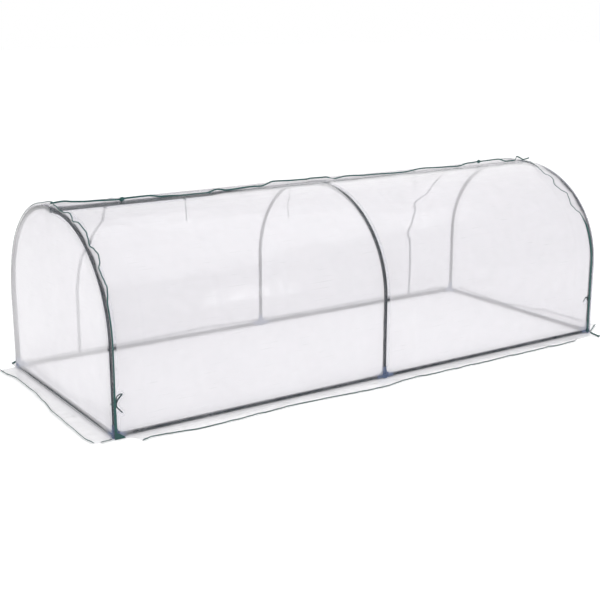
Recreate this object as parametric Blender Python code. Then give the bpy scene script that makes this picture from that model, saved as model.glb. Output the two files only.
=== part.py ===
"""Row cover tunnel: three steel tube hoops on a base frame, under a sewn clear film cover.

The origin is on the ground, under the middle of the tunnel. X runs along the tunnel, the
zipped door is on the +Y side, and Z is up. All lengths are in metres.

A point on the tunnel's cross-section is written (out, height): how far it lies from the
middle plane, on either side, and how high it is above the ground.
"""
import math

import bmesh
import bpy
from mathutils import Matrix, Vector

# Frame
TUNNEL_LENGTH = 2.5
TUNNEL_WIDTH = 1.004
LEG_HEIGHT = 0.341
ARCH_RISE = 0.425
PIPE_RADIUS = 0.008
PIPE_WALL = 0.0008
FIT_GAP = 0.0003
LEG_JOINT_HEIGHT = 0.262
SPIGOT_LENGTH = 0.035

# Moulded connectors
SOCKET_WALL = 0.0017
SOCKET_LENGTH = 0.042
HUB_WALL = 0.0022
HUB_EDGE = 0.003
WEB_THICKNESS = 0.005
WEB_REACH = 0.03

# Film cover
FILM_THICKNESS = 0.0005
SKIRT_WIDTH = 0.085
DOOR_INSET = 0.29
FOLD_DISTANCE = 0.045
DOOR_GAP = 0.0006
RIDGE_SEAM_HEIGHT = 0.02
RIDGE_SEAM_SWAY = 0.003
ARCH_SEAM_WIDTH = 0.034
ARCH_SEAM_ANGLE = math.radians(35)
BINDING_WIDTH = 0.004
BINDING_THICKNESS = 0.0024

# Zips
ZIP_TAPE_WIDTH = 0.008
ZIP_TAPE_THICKNESS = 0.0016
SLIDER_LENGTH = 0.014
SLIDER_PLATE = 0.0012
SLIDER_START = 0.03
PULL_LENGTH = 0.03
PULL_WIDTH = 0.006
PULL_THICKNESS = 0.0014
PULL_PLAY = 0.0005

# Ties
TIE_DIAMETER = 0.002
TIE_PITCH = 0.004
TIE_STEP = 0.006

# How finely curved pieces are divided
PIPE_SIDES = 12
ARCH_STEPS = 12
SEAM_STEPS = 36
FILM_STEPS = 24
SMOOTH_ANGLE = math.radians(40)

# Heights of the standing ridge seam, as shares of RIDGE_SEAM_HEIGHT, from the -X end
RIDGE_SEAM_SHARES = (0.75, 0.7, 0.4, 0.45, 0.4, 0.25, 0.25, 0.4, 0.25, 0.25, 0.9, 0.75, 0.6,
                     0.35, 0.45, 0.35, 0.25, 0.35, 0.55, 0.3, 0.45, 0.85, 1.0, 0.45, 0.25)
# Sideways sway of the ridge seam, as shares of RIDGE_SEAM_SWAY, from the -X end
RIDGE_SWAY_SHARES = (0.0, 0.6, -0.4, 0.8, -0.7, 0.9, -0.6, 0.5, -0.8, 0.7, 0.2, -0.9, 0.0)
# Widths of the seam over each end hoop, as shares of ARCH_SEAM_WIDTH, from the ridge down
ARCH_SEAM_SHARES = (0.6, 1.0, 0.85, 0.45, 0.9, 0.85, 0.8, 0.45, 0.75, 0.7, 0.35, 0.4,
                    0.25, 0.3, 0.22, 0.25, 0.22, 0.22, 0.22)
# Widths of the ground skirts, as shares of SKIRT_WIDTH, from the -X or -Y end
FRONT_SKIRT_SHARES = (0.1, 0.7, 0.78, 0.96, 0.94, 0.93, 0.85, 0.78, 0.78, 0.88, 1.0, 1.0, 0.92,
                      0.85, 0.85, 0.86, 0.86, 0.84, 0.82, 0.82, 0.83, 0.82, 0.85, 0.75, 0.9)
LEFT_SKIRT_SHARES = (0.9, 1.0, 0.98, 0.9, 0.75, 0.65, 0.63, 0.62, 0.7)
RIGHT_SKIRT_SHARES = (1.0, 1.0, 0.95, 0.85, 0.7, 0.6, 0.7, 0.65, 0.75)
BACK_SKIRT_SHARES = (0.8, 0.7, 0.85, 0.75, 1.0, 0.8, 0.72, 0.85, 0.78)

# Routes of the ties' loose ends below their turn round a tube, as (along, side, up) points
RIDGE_TAILS = {
    "left": ((0, 0, 0), (0.001, 0.002, -0.03), (0.004, 0.002, -0.065), (0.003, 0.001, -0.1)),
    "middle": ((0, 0, 0), (0.004, 0.001, -0.04), (-0.007, 0.001, -0.08), (-0.002, 0, -0.14)),
    "right": ((0, 0, 0), (0.002, 0.001, -0.02), (0.001, 0.002, -0.045), (0.003, 0.002, -0.07)),
}
# Places of the ridge ties, as shares of the half length
RIDGE_TIE_SHARES = {"left": -0.54, "middle": -0.129, "right": 0.441}
LEG_TAILS = {
    "left": ((0, 0, 0), (0.006, -0.0015, 0.012), (0.005, -0.001, 0.028), (0.014, 0, 0.036),
             (0.02, 0.001, 0.026), (0.014, 0.004, 0.008), (0.011, 0.005, -0.014),
             (0.017, 0.005, -0.04)),
    "right": ((0, 0, 0), (-0.008, 0, 0.008), (-0.016, 0.002, 0.002), (-0.025, 0.003, -0.012)),
}
LEG_TIE_HEIGHTS = {"left": 0.135, "right": 0.172}

# Worked out from the sizes above
QUARTER_TURN = math.pi / 2
HALF_LENGTH = TUNNEL_LENGTH / 2
HALF_WIDTH = TUNNEL_WIDTH / 2
SOCKET_BORE = PIPE_RADIUS + FIT_GAP
SOCKET_RADIUS = SOCKET_BORE + SOCKET_WALL
HUB_HALF = SOCKET_BORE + HUB_WALL
RAIL_HEIGHT = HUB_HALF
SPRING_HEIGHT = RAIL_HEIGHT + LEG_HEIGHT
RIDGE_HEIGHT = SPRING_HEIGHT + ARCH_RISE
TUBE_START = HUB_HALF + FIT_GAP
ARCH_LEAD = SOCKET_LENGTH
ARCH_REACH = HALF_WIDTH - ARCH_LEAD
PIPE_BORE = PIPE_RADIUS - PIPE_WALL
SPIGOT_RADIUS = PIPE_BORE - FIT_GAP
SPIGOT_BORE = SPIGOT_RADIUS - PIPE_WALL
FILM_INSIDE = HUB_HALF + FIT_GAP
FILM_OUTSIDE = FILM_INSIDE + FILM_THICKNESS
BACK_FILM_START = FILM_THICKNESS + FIT_GAP
COVER_HALF_LENGTH = HALF_LENGTH + FILM_INSIDE
DOOR_WIDTH = TUNNEL_LENGTH - DOOR_INSET * 2
DOOR_HALF = DOOR_WIDTH / 2
TAPE_INSIDE = FILM_OUTSIDE + FIT_GAP
TAPE_OUTSIDE = TAPE_INSIDE + ZIP_TAPE_THICKNESS
PLATE_INSIDE = TAPE_OUTSIDE + FIT_GAP
PLATE_OUTSIDE = PLATE_INSIDE + SLIDER_PLATE
PULL_INSIDE = PLATE_OUTSIDE + PULL_PLAY

# Finishes: name, colour, roughness, metallic value and opacity
STEEL = ("powder_coated_steel", (0.045, 0.085, 0.078), 0.42, 0.0, 1.0)
PLASTIC = ("moulded_plastic", (0.085, 0.12, 0.19), 0.5, 0.0, 1.0)
FILM = ("clear_film", (0.8, 0.82, 0.84), 0.12, 0.0, 0.3)
TAPE = ("binding_tape", (0.02, 0.1, 0.075), 0.85, 0.0, 1.0)
ZIP_TAPE = ("zip_tape", (0.03, 0.09, 0.075), 0.8, 0.0, 1.0)
ZIP_METAL = ("zip_metal", (0.35, 0.36, 0.37), 0.35, 1.0, 1.0)


def remove_objects():
    """Empty the scene, startup objects included."""
    for item in list(bpy.data.objects):
        bpy.data.objects.remove(item)


def finish_material(finish):
    """Return the material of a finish, made on its first use."""
    name, colour, roughness, metallic, opacity = finish
    material = bpy.data.materials.get(name)
    if material is None:
        material = bpy.data.materials.new(name)
        material.use_nodes = True
        shader = material.node_tree.nodes["Principled BSDF"]
        shader.inputs["Base Color"].default_value = (*colour, 1)
        shader.inputs["Roughness"].default_value = roughness
        shader.inputs["Metallic"].default_value = metallic
        shader.inputs["Alpha"].default_value = opacity
    return material


def place(name, mesh, finish, matrix=None):
    """Add an object for a mesh, give it its material and stand it where the matrix says."""
    item = bpy.data.objects.new(name, mesh)
    bpy.context.scene.collection.objects.link(item)
    if not mesh.materials:
        mesh.materials.append(finish_material(finish))
    if matrix is not None:
        item.matrix_world = matrix
    return item


def write_mesh(name, shape):
    """Turn a bmesh into a mesh with its faces pointing out and smooth curved faces."""
    bmesh.ops.recalc_face_normals(shape, faces=shape.faces)
    mesh = bpy.data.meshes.new(name)
    shape.to_mesh(mesh)
    shape.free()
    mesh.shade_smooth()
    mesh.set_sharp_from_angle(angle=SMOOTH_ANGLE)
    return mesh


def ring_matrix(point, along, side):
    """Return the placing of a ring that faces along a direction, with side as its X axis."""
    across = along.cross(side).normalized()
    turn = Matrix((side, across, along.normalized())).transposed().to_4x4()
    return Matrix.Translation(point) @ turn


def tube_mesh(name, rings):
    """Loft a closed body through rings, each a (matrix, radius), back to the first ring."""
    shape = bmesh.new()
    matrix, radius = rings[0]
    bmesh.ops.create_circle(shape, segments=PIPE_SIDES, radius=radius, matrix=matrix)
    first = shape.edges[:]
    loop = first
    for next_matrix, next_radius in rings[1:]:
        made = bmesh.ops.extrude_edge_only(shape, edges=loop)["geom"]
        verts = {item for item in made if isinstance(item, bmesh.types.BMVert)}
        loop = [item for item in made if isinstance(item, bmesh.types.BMEdge)
                and set(item.verts) <= verts]
        scale = Matrix.Scale(next_radius / radius, 4)
        move = next_matrix @ scale @ matrix.inverted()
        bmesh.ops.transform(shape, matrix=move, verts=list(verts))
        matrix = next_matrix
        radius = next_radius
    bmesh.ops.bridge_loops(shape, edges=first + loop)
    return write_mesh(name, shape)


def straight_tube(name, start, end):
    """Make a plain pipe with its bore open at both ends."""
    along = (end - start).normalized()
    side = Vector((0, 1, 0)) if abs(along.y) < abs(along.x) else Vector((1, 0, 0))
    near = ring_matrix(start, along, side)
    far = ring_matrix(end, along, side)
    rings = [(near, PIPE_RADIUS), (far, PIPE_RADIUS), (far, PIPE_BORE), (near, PIPE_BORE)]
    return place(name, tube_mesh(name, rings), STEEL)


def arch_profile(offset, steps):
    """Return points and outward directions on the hoop line, from the ridge to the leg's top."""
    up = Vector((0, 1))
    points = [(Vector((0, RIDGE_HEIGHT + offset)), up),
              (Vector((ARCH_LEAD, RIDGE_HEIGHT + offset)), up)]
    for step in range(1, steps + 1):
        angle = QUARTER_TURN * (1 - step / steps)
        outward = Vector((math.cos(angle) / ARCH_REACH, math.sin(angle) / ARCH_RISE)).normalized()
        line = Vector((ARCH_LEAD + ARCH_REACH * math.cos(angle),
                       SPRING_HEIGHT + ARCH_RISE * math.sin(angle)))
        points.append((line + offset * outward, outward))
    return points


def arch_tube(name, x, side):
    """Make half a hoop: a bent pipe from the ridge down to its thinner spigot in the leg."""
    line = arch_profile(0, ARCH_STEPS)
    line[0] = (Vector((TUBE_START, RIDGE_HEIGHT)), line[0][1])
    shoulder = Vector((HALF_WIDTH, LEG_JOINT_HEIGHT + FIT_GAP))
    tip = Vector((HALF_WIDTH, LEG_JOINT_HEIGHT - SPIGOT_LENGTH))
    level = line[-1][1]
    across = Vector((1, 0, 0))

    def ring(station, radius):
        point, outward = station
        along = Vector((0, side * outward.y, -outward.x))
        return ring_matrix(Vector((x, side * point.x, point.y)), along, across), radius

    outer = [ring(station, PIPE_RADIUS) for station in line]
    outer.append(ring((shoulder, level), PIPE_RADIUS))
    outer.append(ring((shoulder, level), SPIGOT_RADIUS))
    outer.append(ring((tip, level), SPIGOT_RADIUS))
    inner = [ring((tip, level), SPIGOT_BORE)]
    inner += [ring(station, SPIGOT_BORE) for station in reversed(line)]
    return place(name, tube_mesh(name, outer + inner), STEEL)


def rod(radius, start, end):
    """Return a temporary solid cylinder between two points."""
    shape = bmesh.new()
    turn = (end - start).to_track_quat("Z", "Y").to_matrix().to_4x4()
    matrix = Matrix.Translation((start + end) / 2) @ turn
    bmesh.ops.create_cone(shape, cap_ends=True, segments=PIPE_SIDES, radius1=radius,
                          radius2=radius, depth=(end - start).length, matrix=matrix)
    return place("rod", write_mesh("rod", shape), PLASTIC)


def hub():
    """Return a temporary block with eased edges for the middle of a connector."""
    shape = bmesh.new()
    bmesh.ops.create_cube(shape, size=2 * HUB_HALF)
    bmesh.ops.bevel(shape, geom=shape.edges[:], offset=HUB_EDGE, affect="EDGES", segments=1,
                    profile=0.5)
    return place("hub", write_mesh("hub", shape), PLASTIC)


def web(first, second):
    """Return a temporary triangular web that stiffens the corner between two sockets."""
    shape = bmesh.new()
    normal = first.cross(second).normalized()
    corners = (Vector(), first * WEB_REACH, second * WEB_REACH)
    lift = normal * WEB_THICKNESS / 2
    face = shape.faces.new([shape.verts.new(corner - lift) for corner in corners])
    made = bmesh.ops.extrude_face_region(shape, geom=[face])["geom"]
    verts = [item for item in made if isinstance(item, bmesh.types.BMVert)]
    bmesh.ops.translate(shape, vec=2 * lift, verts=verts)
    return place("web", write_mesh("web", shape), PLASTIC)


def combine(base, tools, operation):
    """Apply one Boolean for each tool to the base, and remove the tools."""
    for tool in tools:
        cut = base.modifiers.new("boolean", "BOOLEAN")
        cut.operation = operation
        cut.solver = "EXACT"
        cut.object = tool
        depsgraph = bpy.context.evaluated_depsgraph_get()
        mesh = bpy.data.meshes.new_from_object(base.evaluated_get(depsgraph))
        base.modifiers.remove(cut)
        base.data = mesh
        bpy.data.objects.remove(tool)


def connector_mesh(name, directions):
    """Make a moulded connector with one open socket in each direction."""
    sockets = [Vector(direction) for direction in directions]
    base = hub()
    combine(base, [rod(SOCKET_RADIUS, Vector(), socket * SOCKET_LENGTH) for socket in sockets],
            "UNION")
    pairs = [(first, second) for index, first in enumerate(sockets)
             for second in sockets[index + 1:] if abs(first.dot(second)) < 0.5]
    combine(base, [web(first, second) for first, second in pairs], "UNION")
    overrun = SOCKET_LENGTH + WEB_REACH
    combine(base, [rod(SOCKET_BORE, socket * HUB_HALF, socket * overrun) for socket in sockets],
            "DIFFERENCE")
    mesh = base.data
    mesh.name = name
    mesh.shade_smooth()
    mesh.set_sharp_from_angle(angle=SMOOTH_ANGLE)
    bpy.data.objects.remove(base)
    return mesh


def standing(x, y, z, turn=0.0):
    """Return a placing at a point, turned about the vertical."""
    return Matrix.Translation((x, y, z)) @ Matrix.Rotation(turn, 4, "Z")


def build_connectors():
    """Place the four corners, the two base tees and the three ridge connectors."""
    corner = connector_mesh("corner_connector", ((1, 0, 0), (0, 1, 0), (0, 0, 1)))
    corners = {"front_left": (-1, -1, 0), "front_right": (1, -1, 1), "back_right": (1, 1, 2),
               "back_left": (-1, 1, 3)}
    for name, (x, y, turns) in corners.items():
        spot = standing(x * HALF_LENGTH, y * HALF_WIDTH, RAIL_HEIGHT, turns * QUARTER_TURN)
        place("corner_connector_" + name, corner, PLASTIC, spot)
    tee = connector_mesh("base_tee", ((1, 0, 0), (-1, 0, 0), (0, 0, 1)))
    for name, y in (("front", -HALF_WIDTH), ("back", HALF_WIDTH)):
        place("base_tee_" + name, tee, PLASTIC, standing(0, y, RAIL_HEIGHT))
    end = connector_mesh("ridge_tee", ((1, 0, 0), (0, 1, 0), (0, -1, 0)))
    place("ridge_tee_left", end, PLASTIC, standing(-HALF_LENGTH, 0, RIDGE_HEIGHT))
    place("ridge_tee_right", end, PLASTIC, standing(HALF_LENGTH, 0, RIDGE_HEIGHT, math.pi))
    cross = connector_mesh("ridge_cross", ((1, 0, 0), (-1, 0, 0), (0, 1, 0), (0, -1, 0)))
    place("ridge_cross_middle", cross, PLASTIC, standing(0, 0, RIDGE_HEIGHT))


def build_frame():
    """Make the base rails, the legs, the bent hoop halves and the ridge tubes."""
    near = TUBE_START
    far = HALF_LENGTH - TUBE_START
    lines = {"front_rail": (-HALF_WIDTH, RAIL_HEIGHT), "back_rail": (HALF_WIDTH, RAIL_HEIGHT),
             "ridge_tube": (0, RIDGE_HEIGHT)}
    for name, (y, z) in lines.items():
        straight_tube(name + "_left", Vector((-far, y, z)), Vector((-near, y, z)))
        straight_tube(name + "_right", Vector((near, y, z)), Vector((far, y, z)))
    reach = HALF_WIDTH - TUBE_START
    hoops = {"left": -HALF_LENGTH, "middle": 0, "right": HALF_LENGTH}
    for end in ("left", "right"):
        x = hoops[end]
        straight_tube("end_rail_" + end, Vector((x, -reach, RAIL_HEIGHT)),
                      Vector((x, reach, RAIL_HEIGHT)))
    for end, x in hoops.items():
        for name, side in (("front", -1), ("back", 1)):
            foot = Vector((x, side * HALF_WIDTH, RAIL_HEIGHT + TUBE_START))
            top = Vector((x, side * HALF_WIDTH, LEG_JOINT_HEIGHT))
            straight_tube("leg_{}_{}".format(end, name), foot, top)
            arch_tube("hoop_{}_{}".format(end, name), x, side)


def share_at(shares, fraction):
    """Read a table of shares at a fraction of its length, in a straight line between entries."""
    spot = min(max(fraction, 0), 1) * (len(shares) - 1)
    index = min(int(spot), len(shares) - 2)
    part = spot - index
    return shares[index] * (1 - part) + shares[index + 1] * part


def sheet(name, rows, finish, thickness=FILM_THICKNESS):
    """Make a closed sheet: rows of points joined into faces, thickened on their outer side.

    Faces between a long row and a short one stop where the short one ends.
    """
    shape = bmesh.new()
    grid = [[shape.verts.new(point) for point in row] for row in rows]
    for near, far in zip(grid, grid[1:]):
        for index in range(min(len(near), len(far)) - 1):
            shape.faces.new((near[index], near[index + 1], far[index + 1], far[index]))
    mesh = bpy.data.meshes.new(name)
    shape.to_mesh(mesh)
    shape.free()
    item = place(name, mesh, finish)
    wall = item.modifiers.new("thickness", "SOLIDIFY")
    wall.thickness = thickness
    wall.offset = 1
    wall.use_even_offset = True
    return item


def spread(low, high, steps):
    """Return evenly spaced values from low to high."""
    return [low + (high - low) * step / steps for step in range(steps + 1)]


def ridge_seam(x):
    """Return the sway and the height of the standing ridge seam at a place along the tunnel."""
    fraction = (x + COVER_HALF_LENGTH) / (2 * COVER_HALF_LENGTH)
    sway = RIDGE_SEAM_SWAY * share_at(RIDGE_SWAY_SHARES, fraction)
    return sway, RIDGE_SEAM_HEIGHT * share_at(RIDGE_SEAM_SHARES, fraction)


def build_front_panel():
    """Make the front film: its standing ridge seam, the roof and the wall down to the ground."""
    end = COVER_HALF_LENGTH - FIT_GAP
    profile = arch_profile(FILM_INSIDE, ARCH_STEPS)
    rows = []
    for x in spread(-end, end, FILM_STEPS):
        sway, height = ridge_seam(x)
        base = RIDGE_HEIGHT + FILM_INSIDE
        row = [Vector((x, sway, base + height))]
        row += [Vector((x, -point.x, point.y)) for point, _ in profile]
        row.append(Vector((x, -HALF_WIDTH - FILM_INSIDE, 0)))
        rows.append(row)
    sheet("front_panel", rows, FILM)


def ground_skirt(name, xs, side, shares, limits):
    """Make a film skirt that lies on the ground along a long wall, and return its outer edge."""
    low, high = limits
    inner = HALF_WIDTH + FILM_OUTSIDE + FIT_GAP
    hem = []
    for x in xs:
        reach = SKIRT_WIDTH * share_at(shares, (x - low) / (high - low))
        hem.append(Vector((x, side * (HALF_WIDTH + FILM_INSIDE + reach), 0)))
    rows = [[Vector((point.x, side * inner, 0)), point] for point in hem]
    sheet(name, rows, FILM)
    return hem


def build_skirts():
    """Make the long walls' skirts: the front one, the door's and one at each end of the back."""
    end = COVER_HALF_LENGTH - FIT_GAP
    ends = (-end, end)
    hem = ground_skirt("front_skirt", spread(-end, end, FILM_STEPS), -1, FRONT_SKIRT_SHARES, ends)
    hem_binding("skirt_binding_front", hem, Vector((0, -1, 0)))
    xs = spread(DOOR_HALF, end, 3)
    ground_skirt("back_skirt_right", xs[::-1], 1, BACK_SKIRT_SHARES, ends)
    ground_skirt("back_skirt_left", [-x for x in xs], 1, BACK_SKIRT_SHARES, ends)
    reach = DOOR_HALF - DOOR_GAP
    xs = spread(reach, -reach, FILM_STEPS // 2)
    hem = ground_skirt("door_skirt", xs, 1, BACK_SKIRT_SHARES, (-reach, reach))
    hem_binding("skirt_binding_door", hem, Vector((0, 1, 0)))


def hem_binding(name, hem, outward):
    """Lay the binding tape along a skirt's outer edge, just clear of the film."""
    inner = [point + outward * FIT_GAP for point in hem]
    outer = [point + outward * (FIT_GAP + BINDING_WIDTH) for point in hem]
    rows = (outer, inner)
    if (hem[-1] - hem[0]).cross(outward).z > 0:
        rows = (inner, outer)
    sheet(name, rows, TAPE, BINDING_THICKNESS)


def build_ridge_binding():
    """Make the binding tape on the upper edge of the standing ridge seam."""
    end = COVER_HALF_LENGTH - FIT_GAP
    middle = (BINDING_THICKNESS - FILM_THICKNESS) / 2
    lower = []
    upper = []
    for x in spread(-end, end, FILM_STEPS):
        sway, height = ridge_seam(x)
        edge = RIDGE_HEIGHT + FILM_INSIDE + height + FIT_GAP
        lower.append(Vector((x, sway + middle, edge)))
        upper.append(Vector((x, sway + middle, edge + BINDING_WIDTH)))
    sheet("ridge_seam_binding", (lower, upper), TAPE, BINDING_THICKNESS)


def back_row(x, start):
    """Return the points of the back film at one place along it, from a place near the ridge."""
    profile = arch_profile(FILM_INSIDE, ARCH_STEPS)[2:]
    row = [Vector((x, out, height)) for out, height in start]
    row += [Vector((x, point.x, point.y)) for point, _ in profile]
    row.append(Vector((x, HALF_WIDTH + FILM_INSIDE, 0)))
    return row


def build_back_panel():
    """Make the back film round the door: a strip at each end, joined by a band at the ridge."""
    end = COVER_HALF_LENGTH - FIT_GAP
    top = RIDGE_HEIGHT + FILM_INSIDE
    fold = fold_line()
    band = [(BACK_FILM_START, top), (ARCH_LEAD, top), (fold.x - DOOR_GAP / 2, fold.y)]
    xs = spread(DOOR_HALF, end, 3)
    right = [back_row(x, band) for x in reversed(xs)]
    left = [back_row(-x, band) for x in xs]
    middle = [Vector((0, out, height)) for out, height in band]
    sheet("back_panel", right + [middle] + left, FILM)


def fold_line():
    """Return the place on the back film's inner side where the door folds up."""
    start, _ = arch_profile(FILM_INSIDE, ARCH_STEPS)[1]
    end, _ = arch_profile(FILM_INSIDE, ARCH_STEPS)[2]
    return start.lerp(end, (FOLD_DISTANCE - start.x) / (end.x - start.x))


def build_door():
    """Make the door film between the two zips, from its fold line down to the ground."""
    reach = DOOR_HALF - DOOR_GAP
    fold = fold_line()
    start = [(fold.x + DOOR_GAP / 2, fold.y)]
    rows = [back_row(x, start) for x in spread(reach, -reach, FILM_STEPS // 2)]
    sheet("back_door", rows, FILM)


def build_end_panel(name, side, shares):
    """Make a half-moon end film with its ground skirt, outside the end hoop."""
    x = side * COVER_HALF_LENGTH
    columns = len(shares) - 1
    profile = arch_profile(FILM_OUTSIDE, ARCH_STEPS)[1:]
    levels = [(point.x, point.y) for point, _ in profile]
    wall = HALF_WIDTH + FILM_OUTSIDE
    levels.append((wall, 0))
    rows = [[Vector((x, y, height)) for y in spread(-out, out, columns)]
            for out, height in levels]
    hem = []
    for y in spread(-wall, wall, columns):
        reach = SKIRT_WIDTH * share_at(shares, (y + wall) / (2 * wall))
        hem.append(Vector((x + side * reach, y, 0)))
    rows.append(hem)
    if side > 0:
        rows = [row[::-1] for row in rows]
    sheet("end_panel_" + name, rows, FILM)
    hem_binding("skirt_binding_" + name, hem, Vector((side, 0, 0)))


def seam_line(side):
    """Return base points, directions and widths of the seam over an end hoop's front half."""
    level = FILM_OUTSIDE + FIT_GAP
    stations = arch_profile(level, SEAM_STEPS)[1:]
    foot = Vector((HALF_WIDTH + level, FILM_THICKNESS + FIT_GAP))
    stations.append((foot, stations[-1][1]))
    length = sum((far[0] - near[0]).length for near, far in zip(stations, stations[1:]))
    x = side * (COVER_HALF_LENGTH - FIT_GAP)
    line = []
    walked = 0
    last = stations[0][0]
    for point, outward in stations:
        walked += (point - last).length
        last = point
        lean = math.sin(ARCH_SEAM_ANGLE)
        towards = Vector((-side * math.cos(ARCH_SEAM_ANGLE), -lean * outward.x, lean * outward.y))
        width = ARCH_SEAM_WIDTH * share_at(ARCH_SEAM_SHARES, walked / length)
        line.append((Vector((x, -point.x, point.y)), towards, width))
    return line


def build_arch_seam(name, side):
    """Make the loose film edge over an end hoop, and the binding tape on that edge."""
    line = seam_line(side)
    base = [point for point, _, _ in line]
    edge = [point + towards * width for point, towards, width in line]
    inner = [point + towards * (width + FIT_GAP) for point, towards, width in line]
    outer = [point + towards * (width + FIT_GAP + BINDING_WIDTH) for point, towards, width in line]
    if side > 0:
        base, edge = edge, base
        inner, outer = outer, inner
    sheet("arch_seam_film_" + name, (base, edge), FILM)
    sheet("arch_seam_binding_" + name, (inner, outer), TAPE, BINDING_THICKNESS)


def tape_rows(xs, start, offset):
    """Return rows for a zip tape that follows the back film down to the skirt."""
    profile = arch_profile(offset, ARCH_STEPS)[2:]
    foot = Vector((HALF_WIDTH + offset, FILM_THICKNESS + FIT_GAP))
    points = [start] + [point for point, _ in profile] + [foot]
    return [[Vector((x, point.x, point.y)) for point in points] for x in xs]


def build_zips():
    """Make the two halves of each zip: one on the fixed strip, one on the door's edge."""
    fixed_start = Vector((ARCH_LEAD, RIDGE_HEIGHT + TAPE_INSIDE))
    fold = fold_line()
    door_start = Vector((fold.x + ZIP_TAPE_THICKNESS, fold.y + FILM_THICKNESS + FIT_GAP))
    for name, side in (("left", -1), ("right", 1)):
        inner = side * (DOOR_HALF - DOOR_GAP)
        outer = side * DOOR_HALF
        door = sorted((inner, inner - side * ZIP_TAPE_WIDTH), reverse=True)
        fixed = sorted((outer, outer + side * ZIP_TAPE_WIDTH), reverse=True)
        rows = tape_rows(fixed, fixed_start, TAPE_INSIDE)
        sheet("zip_tape_{}_fixed".format(name), rows, ZIP_TAPE, ZIP_TAPE_THICKNESS)
        rows = tape_rows(door, door_start, TAPE_INSIDE)
        sheet("zip_tape_{}_door".format(name), rows, ZIP_TAPE, ZIP_TAPE_THICKNESS)


def block(name, low, high, finish, edge=0.0):
    """Make a box between two corners, with eased upright edges."""
    shape = bmesh.new()
    size = high - low
    matrix = Matrix.Translation((low + high) / 2) @ Matrix.Diagonal((*size, 1))
    bmesh.ops.create_cube(shape, size=1, matrix=matrix)
    if edge:
        rim = [item for item in shape.edges
               if abs((item.verts[0].co - item.verts[1].co).y) > size.y / 2]
        bmesh.ops.bevel(shape, geom=rim, offset=edge, affect="EDGES", segments=2, profile=0.5)
    return place(name, write_mesh(name, shape), finish)


def build_sliders():
    """Make the zip sliders at the foot of the door's edges, each with its hanging pull."""
    wall = HALF_WIDTH
    for name, side in (("left", -1), ("right", 1)):
        middle = side * (DOOR_HALF - DOOR_GAP / 2)
        half = ZIP_TAPE_WIDTH - SLIDER_PLATE
        low = Vector((middle - half, wall + PLATE_INSIDE, SLIDER_START))
        high = Vector((middle + half, wall + PLATE_OUTSIDE, SLIDER_START + SLIDER_LENGTH))
        block("zip_slider_" + name, low, high, ZIP_METAL, SLIDER_PLATE)
        top = SLIDER_START + SLIDER_LENGTH
        low = Vector((middle - PULL_WIDTH / 2, wall + PULL_INSIDE, top - PULL_LENGTH))
        high = Vector((middle + PULL_WIDTH / 2, wall + PULL_INSIDE + PULL_THICKNESS, top))
        block("zip_pull_" + name, low, high, ZIP_METAL, PULL_THICKNESS)


def smooth_route(points, step):
    """Read points about one step apart from a smooth curve through a route's points."""
    ends = [points[0] * 2 - points[1]] + points + [points[-1] * 2 - points[-2]]
    route = []
    for before, start, end, after in zip(ends, ends[1:], ends[2:], ends[3:]):
        count = max(1, round((end - start).length / step))
        for index in range(count):
            part = index / count
            near = start * 2 + (end - before) * part
            bend = (before * 2 - start * 5 + end * 4 - after) * part ** 2
            twist = (start * 3 - before - end * 3 + after) * part ** 3
            route.append((near + bend + twist) / 2)
    return route + [points[-1]]


def build_tie(name, turn, tail):
    """Make a tie: one turn round a tube, then its loose end."""
    joined = smooth_route([turn[-1] + Vector(point) for point in tail], TIE_STEP)
    route = turn[:-1] + joined
    curve = bpy.data.curves.new(name, "CURVE")
    curve.dimensions = "3D"
    curve.bevel_depth = TIE_DIAMETER / 2
    curve.bevel_resolution = 2
    curve.use_fill_caps = True
    curve.render_resolution_u = 0
    spline = curve.splines.new("POLY")
    spline.points.add(len(route) - 1)
    for knot, point in zip(spline.points, route):
        knot.co = (*point, 1)
    curve.materials.append(finish_material(TAPE))
    item = bpy.data.objects.new(name, curve)
    bpy.context.scene.collection.objects.link(item)


def turn_round(centre, first, second, along, pitch):
    """Return one turn of a helix round a tube, from the first direction to the second."""
    radius = PIPE_RADIUS + FIT_GAP + TIE_DIAMETER / 2
    points = []
    for step in range(PIPE_SIDES + 1):
        angle = 2 * math.pi * step / PIPE_SIDES
        spoke = first * math.cos(angle) + second * math.sin(angle)
        points.append(centre + spoke * radius + along * pitch * (step / PIPE_SIDES - 1))
    return points


def build_ties():
    """Make the ties that hold the cover to the ridge tubes and to the two front corner legs."""
    forward = Vector((1, 0, 0))
    back = Vector((0, 1, 0))
    up = Vector((0, 0, 1))
    for name, share in RIDGE_TIE_SHARES.items():
        centre = Vector((HALF_LENGTH * share, 0, RIDGE_HEIGHT))
        turn = turn_round(centre, -back, up, forward, TIE_PITCH)
        build_tie("ridge_tie_" + name, turn, RIDGE_TAILS[name])
    for name, side in (("left", -1), ("right", 1)):
        centre = Vector((side * HALF_LENGTH, -HALF_WIDTH, LEG_TIE_HEIGHTS[name]))
        turn = turn_round(centre, forward * -side, back, up, TIE_PITCH)
        build_tie("leg_tie_" + name, turn, LEG_TAILS[name])


def main():
    """Build the whole tunnel."""
    remove_objects()
    build_connectors()
    build_frame()
    build_front_panel()
    build_ridge_binding()
    build_back_panel()
    build_door()
    build_skirts()
    build_end_panel("left", -1, LEFT_SKIRT_SHARES)
    build_end_panel("right", 1, RIGHT_SKIRT_SHARES)
    for name, side in (("left", -1), ("right", 1)):
        build_arch_seam(name, side)
    build_zips()
    build_sliders()
    build_ties()


main()
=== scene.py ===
"""Looks of a garden row cover tunnel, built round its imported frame.

X runs along the tunnel, the zipped door is on the +Y side and Z is up. All lengths are in metres.
A place on the cross-section is walked from the ridge down the hoop to the ground, on either side.
"""
import logging
import math
from collections.abc import Callable, Iterable, Sequence
from dataclasses import dataclass, field
from enum import Enum
from functools import cached_property

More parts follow.
